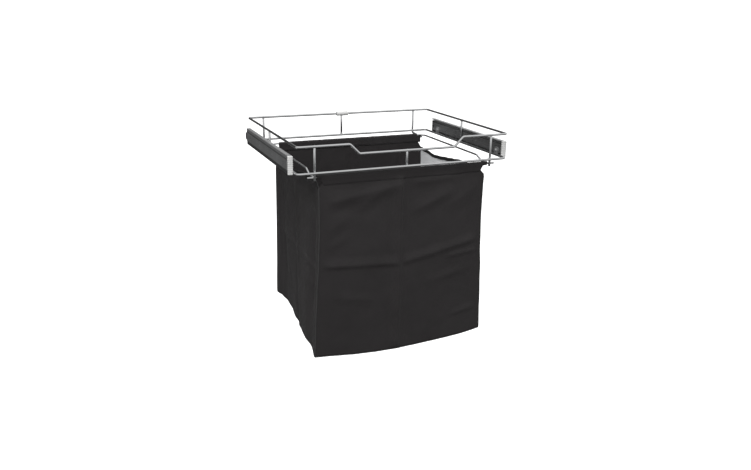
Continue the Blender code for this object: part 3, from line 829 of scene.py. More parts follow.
def settle(piece: bpy.types.Object, finish: Finish, body: str, *nodes: str) -> bpy.types.Object:
    """Parent a finished piece to its body's empty, hide the CAD nodes that it stands for, and log it.

    Args:
        piece: The piece, in place.
        finish: The piece's finish; not used.
        body: The body that it moves with.
        nodes: CAD nodes that it stands for.

    Returns:
        The same piece.
    """
    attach(piece, body)
    if nodes:
        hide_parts(*nodes)
    log.info("%s: %d faces, on %s", piece.name, len(piece.data.polygons), body)
    return piece


# ---------------------------------------------------------------- wire frame


@dataclass
class WireBasket:
    """The chrome frame: two rails, their uprights and the bag hanger.

    Attributes:
        sides: Facets round a wire.
        corner: Bend radius of the rails' corners.
        dip_bend: Bend radius of the lowered front.
        dip_top: Half width of the dip at the rail's height.
        dip_floor: Half width of the dip's floor.
        dip_drop: How far the dip goes down.
        foot_bend: Bend radius of the rear uprights' feet.
        bow_corner: Bend radius of the bow's rear corners.
        bow_bend: Bend radius of the bow's step.
        step_back: Where the bow's step starts, behind the front rail.
        step_front: Where it ends.
        tip: Length over which a cut end is rounded.
        rail_bead: Stretch of the bead between an upright and a rail.
        side_bead: Stretch of the bead at the end of a side upright.
        bow_bead: Stretch of the bead at the bow's end.
        rod_bead: Stretch of the bead between the rod and a front upright.
        foot_bead: Stretch of the bead between a rear foot and the bow.
        foot_inset: How far that bead is from the bow's corner, on both axes.
        bead_sides: Facets round a bead.
    """

    sides: int = 24
    corner: float = 0.009
    dip_bend: float = 0.009
    dip_top: float = 0.156
    dip_floor: float = 0.131
    dip_drop: float = 0.0245
    foot_bend: float = 0.008
    bow_corner: float = 0.024
    bow_bend: float = 0.012
    step_back: float = 0.072
    step_front: float = 0.047
    tip: float = 0.0009
    rail_bead: Point = (1.0, 0.5, 1.0)
    side_bead: Point = (1.25, 1.25, 0.3)
    bow_bead: Point = (0.85, 0.5, 0.85)
    rod_bead: Point = (0.8, 0.5, 0.8)
    foot_bead: Point = (0.8, 0.8, 0.4)
    foot_inset: float = 0.007
    bead_sides: int = 14

    def build(self) -> None:
        """Build every wire and its welds."""
        self.rails()
        self.uprights()
        self.hangers()
        self.welds()

    def wire(self, node: str, path: Sequence[Vector], radius: float, closed: bool = False) -> None:
        """Make one wire in place of its CAD node.

        Args:
            node: The node.
            path: The middle of the wire.
            radius: The wire's radius.
            closed: Whether the wire's ends are joined.
        """
        base = path_mesh([path], closed, 0.0 if closed else self.tip)
        made = {"radius": radius, "sides": self.sides}
        piece = GeometryTool.make(Tool.ROUND_WIRE, f"{node}_wire", base, CHROME, **made)
        settle(piece, CHROME, "basket", node)

    def rails(self) -> None:
        """Make the two closed rails. The upper one is lowered across the front."""
        low = UPPER_Z - self.dip_drop
        ends = ((1, FRONT_Y), (1, REAR_Y), (-1, REAR_Y), (-1, FRONT_Y))
        lower = [(side * SIDE_X, y, LOWER_Z) for side, y in ends]
        upper = [(x, y, UPPER_Z) for x, y, _ in lower]
        upper += [(-self.dip_top, FRONT_Y, UPPER_Z), (-self.dip_floor, FRONT_Y, low)]
        upper += [(self.dip_floor, FRONT_Y, low), (self.dip_top, FRONT_Y, UPPER_Z)]
        bends = [self.corner] * 4
        self.wire("lower_rail", arcs(lower, bends, closed=True), WIRE, closed=True)
        bends += [self.dip_bend] * 4
        self.wire("top_rail", arcs(upper, bends, closed=True), WIRE, closed=True)

    def uprights(self) -> None:
        """Make the straight uprights, and the rear ones whose feet turn forward under the bow."""
        for node in ("front_left", "front_centre", "front_right", "rear_centre", "left_side", "right_side"):
            low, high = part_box(f"{node}_upright")
            middle = (low + high) / 2
            path = [Vector((middle.x, middle.y, z)) for z in (high.z, low.z)]
            self.wire(f"{node}_upright", path, WIRE)
        for side, word in ((-1, "left"), (1, "right")):
            self.wire(f"rear_{word}_upright", self.rear_path(side, f"rear_{word}_upright"), WIRE)

    def rear_path(self, side: int, node: str) -> list[Vector]:
        """Run a rear upright down and then forward, to the bow's corner.

        Args:
            side: 1 on the right, -1 on the left.
            node: The upright's CAD node.

        Returns:
            The middle of the wire.
        """
        low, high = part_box(node)
        x = (high if side > 0 else low).x - side * WIRE
        y, foot = high.y - WIRE, low.z + WIRE
        pull = self.bow_corner * (1 - math.cos(math.pi / 4))
        toe = (x - side * pull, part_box("hanger_bow")[1].y - HANGER - pull, foot)
        return arcs([(x, y, high.z), (x, y, foot), toe], [0.0, self.foot_bend, 0.0])

    def hangers(self) -> None:
        """Make the bow round the sides and back, and the rod across the front."""
        low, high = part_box("hanger_bow")
        rod_low, rod_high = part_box("hanger_front_rod")
        x, rear, top = high.x - HANGER, high.y - HANGER, high.z - HANGER
        rod = (rod_low + rod_high) / 2
        right = [
            (x, low.y, rod.z), (x, FRONT_Y + self.step_front, rod.z),
            (x, FRONT_Y + self.step_back, top), (x, rear, top),
        ]
        path = right + [(-px, py, pz) for px, py, pz in reversed(right)]
        radii = [0.0, self.bow_bend, self.bow_bend, self.bow_corner]
        self.wire("hanger_bow", arcs(path, radii + radii[::-1]), HANGER)
        across = [Vector((end, rod.y, rod.z)) for end in (rod_low.x, rod_high.x)]
        self.wire("hanger_front_rod", across, HANGER)

    def welds(self) -> None:
        """Put a small plated bead where each pair of wires touches."""
        dots = []
        for node in ("front_left", "front_centre", "front_right", "rear_left", "rear_centre", "rear_right"):
            low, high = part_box(f"{node}_upright")
            x = (low.x + high.x) / 2
            if node in ("rear_left", "rear_right"):
                x = high.x - WIRE if node == "rear_right" else low.x + WIRE
            y = (FRONT_Y if node.startswith("front") else REAR_Y) + WIRE
            top = UPPER_Z - self.dip_drop if node == "front_centre" else UPPER_Z
            dots += [(Vector((x, y, z)), self.rail_bead) for z in (top, LOWER_Z)]
        for side, word in ((-1, "left"), (1, "right")):
            low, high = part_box(f"{word}_side_upright")
            y = (low.y + high.y) / 2
            dots += [(Vector((side * SIDE_X, y, z)), self.side_bead) for z in (low.z, high.z)]
        low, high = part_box("hanger_bow")
        rod_low, rod_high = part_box("hanger_front_rod")
        x = high.x - HANGER
        rod_y, rod_z = (FRONT_Y + rod_low.y) / 2 + WIRE * 2, (rod_low.z + rod_high.z) / 2
        foot_y, foot_z = high.y - HANGER - self.foot_inset, high.z - 2 * HANGER
        for side in (-1, 1):
            dots.append((Vector((side * x, low.y, rod_z)), self.bow_bead))
            dots.append((Vector((side * x, rod_y, rod_z)), self.rod_bead))
            dots.append((Vector((side * (x - self.foot_inset), foot_y, foot_z)), self.foot_bead))
        made = {"radius": WIRE, "sides": self.bead_sides}
        piece = GeometryTool.make(Tool.DOTS, "weld_beads", dot_mesh(dots), CHROME, **made)
        settle(piece, CHROME, "basket")


# ---------------------------------------------------------------- the bag


class Panel(Enum):
    """The four hanging panels, in order round the bag seen from above, from the front's left corner."""

    FRONT = 0
    RIGHT = 1
    REAR = 2
    LEFT = 3

    @property
    def across(self) -> bool:
        """Tell whether the panel hangs across the closet."""
        return self in (Panel.FRONT, Panel.REAR)

    @property
    def out(self) -> int:
        """Return the way the panel faces: 1 to the back or the right, -1 to the front or the left."""
        return 1 if self in (Panel.REAR, Panel.RIGHT) else -1

    def back(self, share: float = 0.0) -> float:
        """Return how far back a share of the panel's width is, from 0 to 1.

        Args:
            share: Share of the width, going round the bag.

        Returns:
            0 all over the front panel and 1 all over the back one.
        """
        if self.across:
            return 1.0 if self is Panel.REAR else 0.0
        return share if self is Panel.RIGHT else 1.0 - share


@dataclass(frozen=True)
class Fold:
    """A crease or a soft fold in a panel: a tent-shaped ridge along a line.

    Attributes:
        start: First end: across the panel, and up from the lower rail.
        end: Other end.
        height: How far the ridge stands out; negative for a valley.
        left: Width of the slope on the left of the way from start to end.
        right: Width of the other slope.
        fade: Share of the length over which each end dies away.
    """

    start: tuple[float, float]
    end: tuple[float, float]
    height: float
    left: float
    right: float
    fade: float = 0.15

    def lift(self, across: float, up: float) -> float:
        """Find how far this fold pushes a point of the panel outwards.

        Args:
            across: The point's place across the panel.
            up: Its height over the lower rail.

        Returns:
            The distance, negative for inwards.
        """
        run_x, run_y = self.end[0] - self.start[0], self.end[1] - self.start[1]
        length = math.hypot(run_x, run_y)
        off_x, off_y = across - self.start[0], up - self.start[1]
        share = (off_x * run_x + off_y * run_y) / length**2
        if not 0.0 < share < 1.0:
            return 0.0
        offset = (run_x * off_y - run_y * off_x) / length
        width = self.left if offset > 0 else self.right
        closeness = max(0.0, 1.0 - abs(offset) / width)
        ends = min(1.0, share / self.fade, (1.0 - share) / self.fade)
        return self.height * closeness**1.25 * ends * ends * (3 - 2 * ends)


def ease(value: float) -> float:
    """Return a smooth step from 0 to 1."""
    value = min(1.0, max(0.0, value))
    return value * value * (3 - 2 * value)


def blended(stops: Sequence[tuple[float, float]], place: float) -> float:
    """Read a value between smooth stops.

    Args:
        stops: Pairs of a place and a value, in order of place.
        place: Where to read.

    Returns:
        The value there.
    """
    for (first, low), (second, high) in zip(stops, stops[1:]):
        if place <= second:
            return low + (high - low) * ease((place - first) / (second - first))
    return stops[-1][1]


@dataclass
class Bag:
    """The cloth bag: one sewn shell of five panels, hung from a rod and a bow.

    A drop is measured down from the lower rail. A share of a panel's width runs from 0 to 1, going
    round the bag as seen from above, from the front's left corner.

    Attributes:
        columns: Cells across the front and back panels.
        side_columns: Cells across a side panel.
        rows: Cells from top to foot.
        cloth: Thickness of the cloth.
        sleeve_half: Half width over which the top is held up by its hem.
        ear_half: Half width of the front hem, with the ears that stick out past the panel.
        rear_ear: Where the back hem's ear ends.
        corner_drop: Drop of the front's top corners.
        rear_corner_drop: Drop of the back's top corners.
        seat_gap: How far under its hanger's middle a panel starts.
        foot_corner: Drop of the foot at the front corners.
        foot_middle: Drop of the foot at the middle of the front.
        rear_foot: Drop of the foot at the back corners.
        rear_bow: How much lower the back's middle is.
        foot_ripple: How far the sides' feet wave.
        ripples: Half waves along a side's foot.
        bottom_sag: How far the bottom sags.
        bottom_crumple: How uneven the bottom is.
        lean_out: How far the back hangs over to the right, under its hem.
        lean_back: How much of that is gone at the foot.
        tight: Share of a panel's width, as one part in so many, where its edges hold it flat.
        tight_top: The same for its height, at the top.
        belly: How far the front and back bulge.
        side_belly: How far the sides are drawn in under the top.
        slow_wrinkle: Depth of the slow unevenness.
        fine_wrinkle: Depth of the fine unevenness.
        hem: Height of a hem.
        hem_cloth: Thickness of the hem's cloth.
        hem_steps: Cells along a hem.
        hem_turns: Cells over a hanger.
        sleeve_radius: Radius of a hem round its hanger.
        slack: How much higher the front hem stands over its rod.
        hem_proud: How far a hem stands off its panel.
        hem_fade: How much nearer its lower edge is.
        hem_inner: How far its inner layer is behind the panel's outside.
        hem_uneven: Unevenness of its radius.
        pucker: Unevenness of its lower edge.
        ear_taper: Width over which a hem changes into its ear.
        ear_narrow: Share of its height that the front hem loses at an ear.
        ear_flat: How much smaller the back hem's radius is at its ear.
        ear_lift: How far an ear stands off more than the hem.
        tape: Thickness of the binding tape.
        tape_steps: Cells along a tape.
        welt: Radius of a seam's welt.
        thread: Radius of a stitch.
        stitch: Length of a stitch.
        stitch_pitch: Length from one stitch to the next.
        hem_margin: Height of a hem's stitches over its lower edge.
        tape_margin: How far a tape's stitches are under the panel's edge.
        strip_width: Mean width of the strip that makes the front, bottom and back; not used.
        front_width: Width of that strip at the front's foot; not used.
        side_drop: Mean height of a side panel; not used.
    """

    columns: int = 92
    side_columns: int = 70
    rows: int = 96
    cloth: float = 0.0009
    sleeve_half: float = 0.2195
    ear_half: float = 0.2392
    rear_ear: float = 0.2360
    corner_drop: float = 0.040
    rear_corner_drop: float = 0.041
    seat_gap: float = 0.005
    foot_corner: float = 0.4935
    foot_middle: float = 0.5095
    rear_foot: float = 0.459
    rear_bow: float = 0.006
    foot_ripple: float = 0.0015
    ripples: float = 5.2
    bottom_sag: float = 0.010
    bottom_crumple: float = 0.002
    lean_out: float = 0.0058
    lean_back: float = 0.0035
    tight: int = 12
    tight_top: int = 14
    belly: float = 0.005
    side_belly: float = 0.004
    slow_wrinkle: float = 0.0042
    fine_wrinkle: float = 0.0009
    hem: float = 0.023
    hem_cloth: float = 0.0005
    hem_steps: int = 170
    hem_turns: int = 10
    sleeve_radius: float = 0.0036
    slack: float = 0.0024
    hem_proud: float = 0.0003
    hem_fade: float = 0.0007
    hem_inner: float = 0.0014
    hem_uneven: float = 0.0005
    pucker: float = 0.0004
    ear_taper: float = 0.012
    ear_narrow: float = 0.80
    ear_flat: float = 0.0022
    ear_lift: float = 0.0008
    tape: float = 0.0006
    tape_steps: int = 48
    welt: float = 0.0013
    thread: float = 0.00035
    stitch: float = 0.0032
    stitch_pitch: float = 0.0042
    hem_margin: float = 0.0025
    tape_margin: float = 0.0065
    strip_width: float = 0.485
    front_width: float = 0.475
    side_drop: float = 0.44

    # Half widths of the front and of the back, by the drop.
    front_half = (
        (0.0, 0.2225), (0.02, 0.2268), (0.048, 0.2325), (0.070, 0.2316), (0.15, 0.2314),
        (0.235, 0.2343), (0.318, 0.2395), (0.41, 0.2434), (0.498, 0.2470),
    )
    rear_half = (
        (0.0, 0.2245), (0.021, 0.2310), (0.05, 0.2348), (0.085, 0.2358),
        (0.23, 0.2358), (0.33, 0.2366), (0.456, 0.2390),
    )
    # Drop of a side's top edge, and how far its foot is tucked in, from front to back.
    side_top = (
        (0.0, 0.040), (0.10, 0.028), (0.33, 0.0295), (0.44, 0.0352),
        (0.55, 0.0402), (0.67, 0.0458), (0.77, 0.0486), (0.89, 0.0430), (1.0, 0.041),
    )
    side_tuck = (
        (0.0, 0.0), (0.165, 0.0085), (0.274, 0.0045), (0.436, 0.0080), (0.507, 0.0138),
        (0.566, 0.0120), (0.70, 0.0165), (0.83, 0.0170), (0.92, 0.0114), (1.0, 0.0),
    )

    # Folds of the front, seen from the front, of the back, seen from behind, and of a side,
    # measured from its front corner.
    front_folds = (
        Fold((-0.009, -0.022), (-0.013, -0.509), 0.0070, 0.010, 0.026, 0.02),
        Fold((-0.247, -0.243), (-0.010, -0.262), 0.0046, 0.026, 0.010, 0.06),
        Fold((-0.008, -0.262), (0.248, -0.214), 0.0048, 0.022, 0.014, 0.08),
        Fold((0.120, -0.262), (0.248, -0.250), 0.0030, 0.012, 0.008, 0.25),
        Fold((-0.236, -0.084), (0.010, -0.046), 0.0058, 0.030, 0.026, 0.30),
        Fold((-0.236, -0.170), (-0.140, -0.112), 0.0030, 0.032, 0.028, 0.40),
        Fold((-0.238, -0.208), (-0.130, -0.166), 0.0018, 0.026, 0.022, 0.40),
        Fold((0.006, -0.132), (0.165, -0.066), 0.0050, 0.030, 0.024, 0.35),
        Fold((0.002, -0.048), (0.180, -0.034), 0.0030, 0.012, 0.018, 0.30),
        Fold((0.100, -0.132), (0.236, -0.058), 0.0036, 0.036, 0.040, 0.40),
        Fold((0.140, -0.440), (0.240, -0.418), 0.0030, 0.016, 0.012, 0.35),
        Fold((-0.140, -0.112), (-0.050, -0.052), 0.0042, 0.032, 0.028, 0.45),
        Fold((0.050, -0.330), (0.220, -0.300), 0.0022, 0.020, 0.016, 0.40),
        Fold((-0.210, -0.330), (-0.060, -0.360), 0.0020, 0.022, 0.020, 0.40),
    )
    rear_folds = (
        Fold((0.006, -0.040), (0.010, -0.455), 0.0026, 0.018, 0.011, 0.05),
        Fold((-0.240, -0.236), (0.240, -0.229), 0.0028, 0.010, 0.018, 0.08),
        Fold((-0.180, -0.030), (-0.120, -0.190), 0.0022, 0.020, 0.016, 0.35),
        Fold((0.090, -0.030), (0.150, -0.170), 0.0024, 0.018, 0.018, 0.35),
        Fold((-0.040, -0.020), (-0.060, -0.150), 0.0018, 0.014, 0.016, 0.40),
    )
    side_folds = (
        Fold((0.055, -0.070), (0.048, -0.420), -0.0060, 0.030, 0.040, 0.25),
        Fold((0.190, -0.060), (0.188, -0.440), 0.0034, 0.014, 0.020, 0.10),
        Fold((0.315, -0.055), (0.330, -0.400), -0.0050, 0.034, 0.030, 0.25),
        Fold((0.362, -0.060), (0.364, -0.430), 0.0040, 0.018, 0.016, 0.20),
        Fold((0.010, -0.262), (0.370, -0.244), 0.0024, 0.010, 0.016, 0.10),
    )

    # A tape's section: out from the panel's top edge, and up.
    tape_section = (
        (0.0011, -0.0085), (0.0014, -0.004), (0.0013, 0.0004), (0.0, 0.0012),
        (-0.0021, 0.0004), (-0.0022, -0.004), (-0.0019, -0.0085),
    )

    # How far out of the panel the rows of stitches run, on a hem and on a tape.
    hem_rows = (0.0007, -0.0018)
    tape_rows = (0.0019, -0.0026)

    def __post_init__(self) -> None:
        """Find where the bag hangs."""
        rod_low, rod_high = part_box("hanger_front_rod")
        bow_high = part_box("hanger_bow")[1]
        self.rod = (rod_low + rod_high) / 2
        self.bow = Vector((0.0, (bow_high.y - HANGER), bow_high.z - HANGER))
        self.front_y = self.rod.y
        self.rear_y = self.bow.y

    def seat(self, panel: Panel) -> Vector:
        """Return the middle of the wire that holds the front or back panel."""
        return self.rod if panel is Panel.FRONT else self.bow

    def half(self, drop: float, back: float) -> float:
        """Return the bag's half width at a drop, from 0 at the front to 1 at the back."""
        return blended(self.front_half, drop) * (1 - back) + blended(self.rear_half, drop) * back

    def lean(self, drop: float) -> float:
        """Return how far the back of the bag hangs over to the right at a drop."""
        return self.lean_out * ease(drop / 0.03) - self.lean_back * ease(drop / 0.45)

    def edge_top(self, panel: Panel, share: float) -> float:
        """Find a panel's top edge.

        Args:
            panel: The panel.
            share: Share of its width.

        Returns:
            The drop of the edge there.
        """
        if not panel.across:
            return blended(self.side_top, panel.back(share))
        corner = self.corner_drop if panel is Panel.FRONT else self.rear_corner_drop
        under = LOWER_Z - self.seat(panel).z + self.seat_gap
        edge = self.half(corner, panel.back())
        reach = abs(2 * share - 1) * edge
        return under + (corner - under) * ease((reach - self.sleeve_half) / (edge - self.sleeve_half))

    def edge_foot(self, panel: Panel, share: float) -> float:
        """Find a panel's foot.

        Args:
            panel: The panel.
            share: Share of its width.

        Returns:
            The drop of the foot there.
        """
        bow = 1 - (2 * share - 1) ** 2
        if panel is Panel.FRONT:
            return self.foot_corner + (self.foot_middle - self.foot_corner) * bow
        if panel is Panel.REAR:
            return self.rear_foot + self.rear_bow * bow
        back = panel.back(share)
        ripple = self.foot_ripple * math.sin(self.ripples * math.pi * back) * math.sin(math.pi * back)
        return self.foot_corner + (self.rear_foot - self.foot_corner) * back + ripple

    def relief(self, panel: Panel, folds: Sequence[Fold], across: float, drop: float) -> float:
        """Add up the folds and the unevenness of the cloth at a point of a panel.

        Args:
            panel: The panel, which seeds the unevenness.
            folds: Its folds.
            across: The point's place across the panel.
            drop: The point's drop.

        Returns:
            How far the cloth stands out.
        """
        seed = 3.7 * panel.value
        slow = noise.noise(Vector((across * 9.0 + seed, drop * 7.0, 1.3)))
        fine = noise.noise(Vector((across * 34.0, drop * 26.0 + seed, 5.1)))
        uneven = self.slow_wrinkle * slow + self.fine_wrinkle * fine
        return sum(fold.lift(across, -drop) for fold in folds) + uneven

    def point(self, panel: Panel, share: float, fall: float) -> Vector:
        """Find a point of the shell.

        Args:
            panel: The panel.
            share: Share of its width, going round the bag.
            fall: Share of the way from its top to its foot.

        Returns:
            The point, on the outside of the cloth.
        """
        top, foot = self.edge_top(panel, share), self.edge_foot(panel, share)
        drop = top + (foot - top) * fall
        inside = min(1.0, self.tight * share, self.tight * (1 - share))
        hold = ease(inside) * ease(fall * self.tight_top)
        back = panel.back(share)
        if panel.across:
            across = (2 * share - 1) * self.half(drop, back)
            folds = self.front_folds if panel is Panel.FRONT else self.rear_folds
            out = self.relief(panel, folds, across, drop) * hold
            out += self.belly * math.sin(math.pi * share) * ease(fall) * (1 - 0.6 * fall)
            if panel is Panel.FRONT:
                return Vector((across, self.front_y - out, LOWER_Z - drop))
            return Vector((self.lean(drop) - across, self.rear_y + out, LOWER_Z - drop))
        across = back * (self.rear_y - self.front_y)
        reach = self.half(drop, back) + panel.out * self.lean(drop) * back
        low = ease((fall - 0.25) / 0.75)
        tuck = blended(self.side_tuck, back) * low
        tuck += self.side_belly * math.sin(math.pi * back) * ease(fall * 3) * (1 - low)
        out = self.relief(panel, self.side_folds, across, drop) * hold
        return Vector((panel.out * (reach - tuck + out), self.front_y + across, LOWER_Z - drop))

    def skin(self, panel: Panel, across: float, drop: float) -> float:
        """Find the outside of the front or back panel.

        Args:
            panel: The panel.
            across: Place across it, going round the bag.
            drop: The drop.

        Returns:
            How far back the cloth lies there.
        """
        half = self.half(drop, panel.back())
        share = min(1.0, max(0.0, (across / half + 1) / 2))
        top, foot = self.edge_top(panel, share), self.edge_foot(panel, share)
        return self.point(panel, share, max(0.0, (drop - top) / (foot - top))).y

    def top_path(self, panel: Panel) -> list[Vector]:
        """Return a side panel's top edge."""
        return [self.point(panel, step / self.tape_steps, 0.0) for step in range(self.tape_steps + 1)]

    def build(self) -> None:
        shell = self.shell()
        extras = [self.sleeve(Panel.FRONT), self.sleeve(Panel.REAR), self.seams()]
        extras += [self.binding(Panel.LEFT), self.binding(Panel.RIGHT), self.stitching()]

    def shell(self) -> bpy.types.Object:
        """Loft the four panels round the bag, close them with the bottom and thicken the cloth.

        Returns:
            The shell, with a pale lining inside its sides.
        """
        bm = bmesh.new()
        chart = bm.loops.layers.uv.new("UVMap")
        stations = []
        for panel in Panel:
            count = self.columns if panel.across else self.side_columns
            stations += [(panel, step / count) for step in range(count)]
        rings = []
        for panel, share in stations:
            falls = [row / self.rows for row in range(self.rows + 1)]
            rings.append([bm.verts.new(self.point(panel, share, fall)) for fall in falls])
        around = 0.0
        for index, (panel, _) in enumerate(stations):
            here, there = rings[index], rings[(index + 1) % len(rings)]
            step = (there[self.rows // 2].co - here[self.rows // 2].co).length
            for row in range(self.rows):
                face = bm.faces.new((here[row], here[row + 1], there[row + 1], there[row]))
                face.material_index = 0 if panel.across else 2
                for loop, aside in zip(face.loops, (0.0, 0.0, step, step)):
                    loop[chart].uv = (around + aside, loop.vert.co.z)
            around += step
        self.bottom(bm, chart, rings)
        self.corner_paths = self.seam_paths(rings)
        mesh = mesh_of(bm, "bag_shell", SHELL_CLOTH, INNER_CLOTH, SHELL_CLOTH, LINING)
        piece = thickened(mesh, "bag_shell", self.cloth, inward=True)
        nodes = ("bag_front_panel", "bag_rear_panel", "bag_left_panel", "bag_right_panel", "bag_bottom_panel")
        return settle(piece, SHELL_CLOTH, "basket", *nodes)

    def bottom(self, bm: bmesh.types.BMesh, chart: object, rings: list) -> None:
        """Fill the foot with a sagging bottom panel that shares the walls' lowest points.

        Args:
            bm: The bmesh with the walls.
            chart: Its UV layer.
            rings: The walls' columns of points.
        """
        wide, deep = self.columns, self.side_columns
        feet = [ring[-1] for ring in rings]
        front = feet[: wide + 1]
        right = feet[wide : wide + deep + 1]
        rear = feet[wide + deep : 2 * wide + deep + 1][::-1]
        left = [feet[0]] + feet[2 * wide + deep :][::-1]
        grid = [list(front)]
        for row in range(1, deep):
            back = row / deep
            line = [left[row]]
            for column in range(1, wide):
                over = column / wide
                edges = front[column].co * (1 - back) + rear[column].co * back
                edges += left[row].co * (1 - over) + right[row].co * over
                corners = (front[0].co * (1 - over) + front[-1].co * over) * (1 - back)
                corners += (rear[0].co * (1 - over) + rear[-1].co * over) * back
                place = edges - corners
                dish = math.sin(math.pi * over) * math.sin(math.pi * back)
                crumple = self.bottom_crumple * dish * noise.noise(place * 16.0)
                place.z += -self.bottom_sag * dish + crumple
                line.append(bm.verts.new(place))
            line.append(right[row])
            grid.append(line)
        grid.append(list(rear))
        for near, far in zip(grid, grid[1:]):
            for column in range(wide):
                face = bm.faces.new((near[column], far[column], far[column + 1], near[column + 1]))
                for loop in face.loops:
                    loop[chart].uv = loop.vert.co.xy

    def seam_paths(self, rings: list) -> list[list[Vector]]:
        """Follow the upright corners and the foot of each panel.

        Args:
            rings: The walls' columns of points.

        Returns:
            Four uprights, then four runs of the foot.
        """
        wide, deep = self.columns, self.side_columns
        starts = (0, wide, wide + deep, 2 * wide + deep)
        paths = [[vert.co.copy() for vert in rings[index][::2]] for index in starts]
        feet = [ring[-1].co.copy() for ring in rings]
        bounds = (*starts, len(feet))
        for first, last in zip(bounds, bounds[1:]):
            run = feet[first : last + 1]
            paths.append(run + [feet[0]] if last == len(feet) else run)
        return paths

    def seams(self) -> bpy.types.Object:
        """Make the narrow turned welts along every joint between panels.

        Returns:
            The welts.
        """
        base = path_mesh(self.corner_paths, tip=0.001)
        made = {"radius": self.welt, "sides": 8}
        piece = GeometryTool.make(Tool.ROUND_WIRE, "bag_seams", base, THREAD, **made)
        return settle(piece, THREAD, "basket")

    def sleeve(self, panel: Panel) -> bpy.types.Object:
        """Make the folded hem that a hanger runs through.

        Args:
            panel: The front or back panel.

        Returns:
            The hem.
        """
        where = panel.name.lower()
        left, right = -self.sleeve_half, self.rear_ear
        if panel is Panel.FRONT:
            left, right = -self.ear_half, self.ear_half
        bm = bmesh.new()
        chart = bm.loops.layers.uv.new("UVMap")
        rows = []
        for step in range(self.hem_steps + 1):
            line = self.hem_line(panel, left + (right - left) * step / self.hem_steps)
            rows.append([bm.verts.new(place) for place in line])
        bridge(bm, rows, closed=False, flip=panel is Panel.REAR)
        for face in bm.faces:
            for loop in face.loops:
                loop[chart].uv = (loop.vert.co.x, loop.vert.co.z + loop.vert.co.y)
        name = f"bag_{where}_sleeve_cloth"
        piece = thickened(mesh_of(bm, name, SHELL_CLOTH), name, self.hem_cloth)
        return settle(piece, SHELL_CLOTH, "basket", f"bag_{where}_sleeve")

    def hem_line(self, panel: Panel, across: float) -> list[Vector]:
        """Follow a hem's section: up the outside of the panel, over the hanger and down the inside.

        Args:
            panel: The front or back panel.
            across: Where along the hem.

        Returns:
            The points of the section.
        """
        seat, out, front = self.seat(panel), panel.out, panel is Panel.FRONT
        pucker = self.pucker * noise.noise(Vector((across * 42.0, 7.0 + out, 0.4)))
        past = ease((abs(across) - self.sleeve_half + 0.002) / self.ear_taper)
        hem = self.hem * (1 - self.ear_narrow * past * front)
        uneven = noise.noise(Vector((across * 60.0, out, 2.2)))
        radius = self.sleeve_radius + self.hem_uneven * uneven
        radius -= self.ear_flat * past * (not front)
        outside, inside = [], []
        for share in (1.0, 0.75, 0.5, 0.25):
            down = hem * share
            lie = out * (self.skin(panel, -out * across, LOWER_Z - seat.z + down) - seat.y)
            flush = self.hem_proud - self.hem_fade * share**6 * (1 - past)
            depth = lie + flush + self.ear_lift * past + (radius - flush) * (1 - share) ** 2
            outside.append(Vector((across, seat.y + out * depth, seat.z - down + pucker * share)))
            depth = self.hem_inner - lie + (radius - self.hem_inner) * (1 - share) ** 2
            inside.append(Vector((across, seat.y - out * depth, seat.z - down)))
        over = []
        high = radius + self.slack * front
        for turn in range(self.hem_turns + 1):
            angle = math.pi * turn / self.hem_turns
            y, z = seat.y + out * radius * math.cos(angle), seat.z + high * math.sin(angle)
            over.append(Vector((across, y, z)))
        return outside + over + inside[::-1]

    def binding(self, panel: Panel) -> bpy.types.Object:
        """Make the tape folded over a side panel's top edge.

        Args:
            panel: The left or right panel.

        Returns:
            The tape.
        """
        word = panel.name.lower()
        bm = bmesh.new()
        rows = []
        for place in self.top_path(panel):
            section = [Vector((panel.out * out, 0, up)) for out, up in self.tape_section]
            rows.append([bm.verts.new(place + step) for step in section])
        bridge(bm, rows, closed=False)
        bmesh.ops.recalc_face_normals(bm, faces=bm.faces)
        name = f"bag_{word}_tape"
        piece = thickened(mesh_of(bm, name, TAPE), name, self.tape, rounded=True)
        return settle(piece, TAPE, "basket", f"bag_{word}_binding")

    def stitching(self) -> bpy.types.Object:
        """Sew the hems and the tapes with rows of short stitches, outside and inside.

        Returns:
            The stitches.
        """
        paths = []
        spots = [self.sleeve_half * (step / 60 - 1) for step in range(121)]
        for panel in (Panel.FRONT, Panel.REAR):
            drop = LOWER_Z - self.seat(panel).z + self.hem - self.hem_margin
            for depth in self.hem_rows:
                row = [(x, self.skin(panel, -panel.out * x, drop) + panel.out * depth) for x in spots]
                paths.append([Vector((x, y, LOWER_Z - drop)) for x, y in row])
        for panel in (Panel.LEFT, Panel.RIGHT):
            for out in self.tape_rows:
                aside = Vector((panel.out * out, 0, -self.tape_margin))
                paths.append([place + aside for place in self.top_path(panel)])
        made = {"radius": self.thread, "length": self.stitch, "pitch": self.stitch_pitch, "sides": 6}
        piece = GeometryTool.make(Tool.STITCHES, "bag_stitches", path_mesh(paths), THREAD, **made)
        return settle(piece, THREAD, "basket")


# ---------------------------------------------------------------- slides


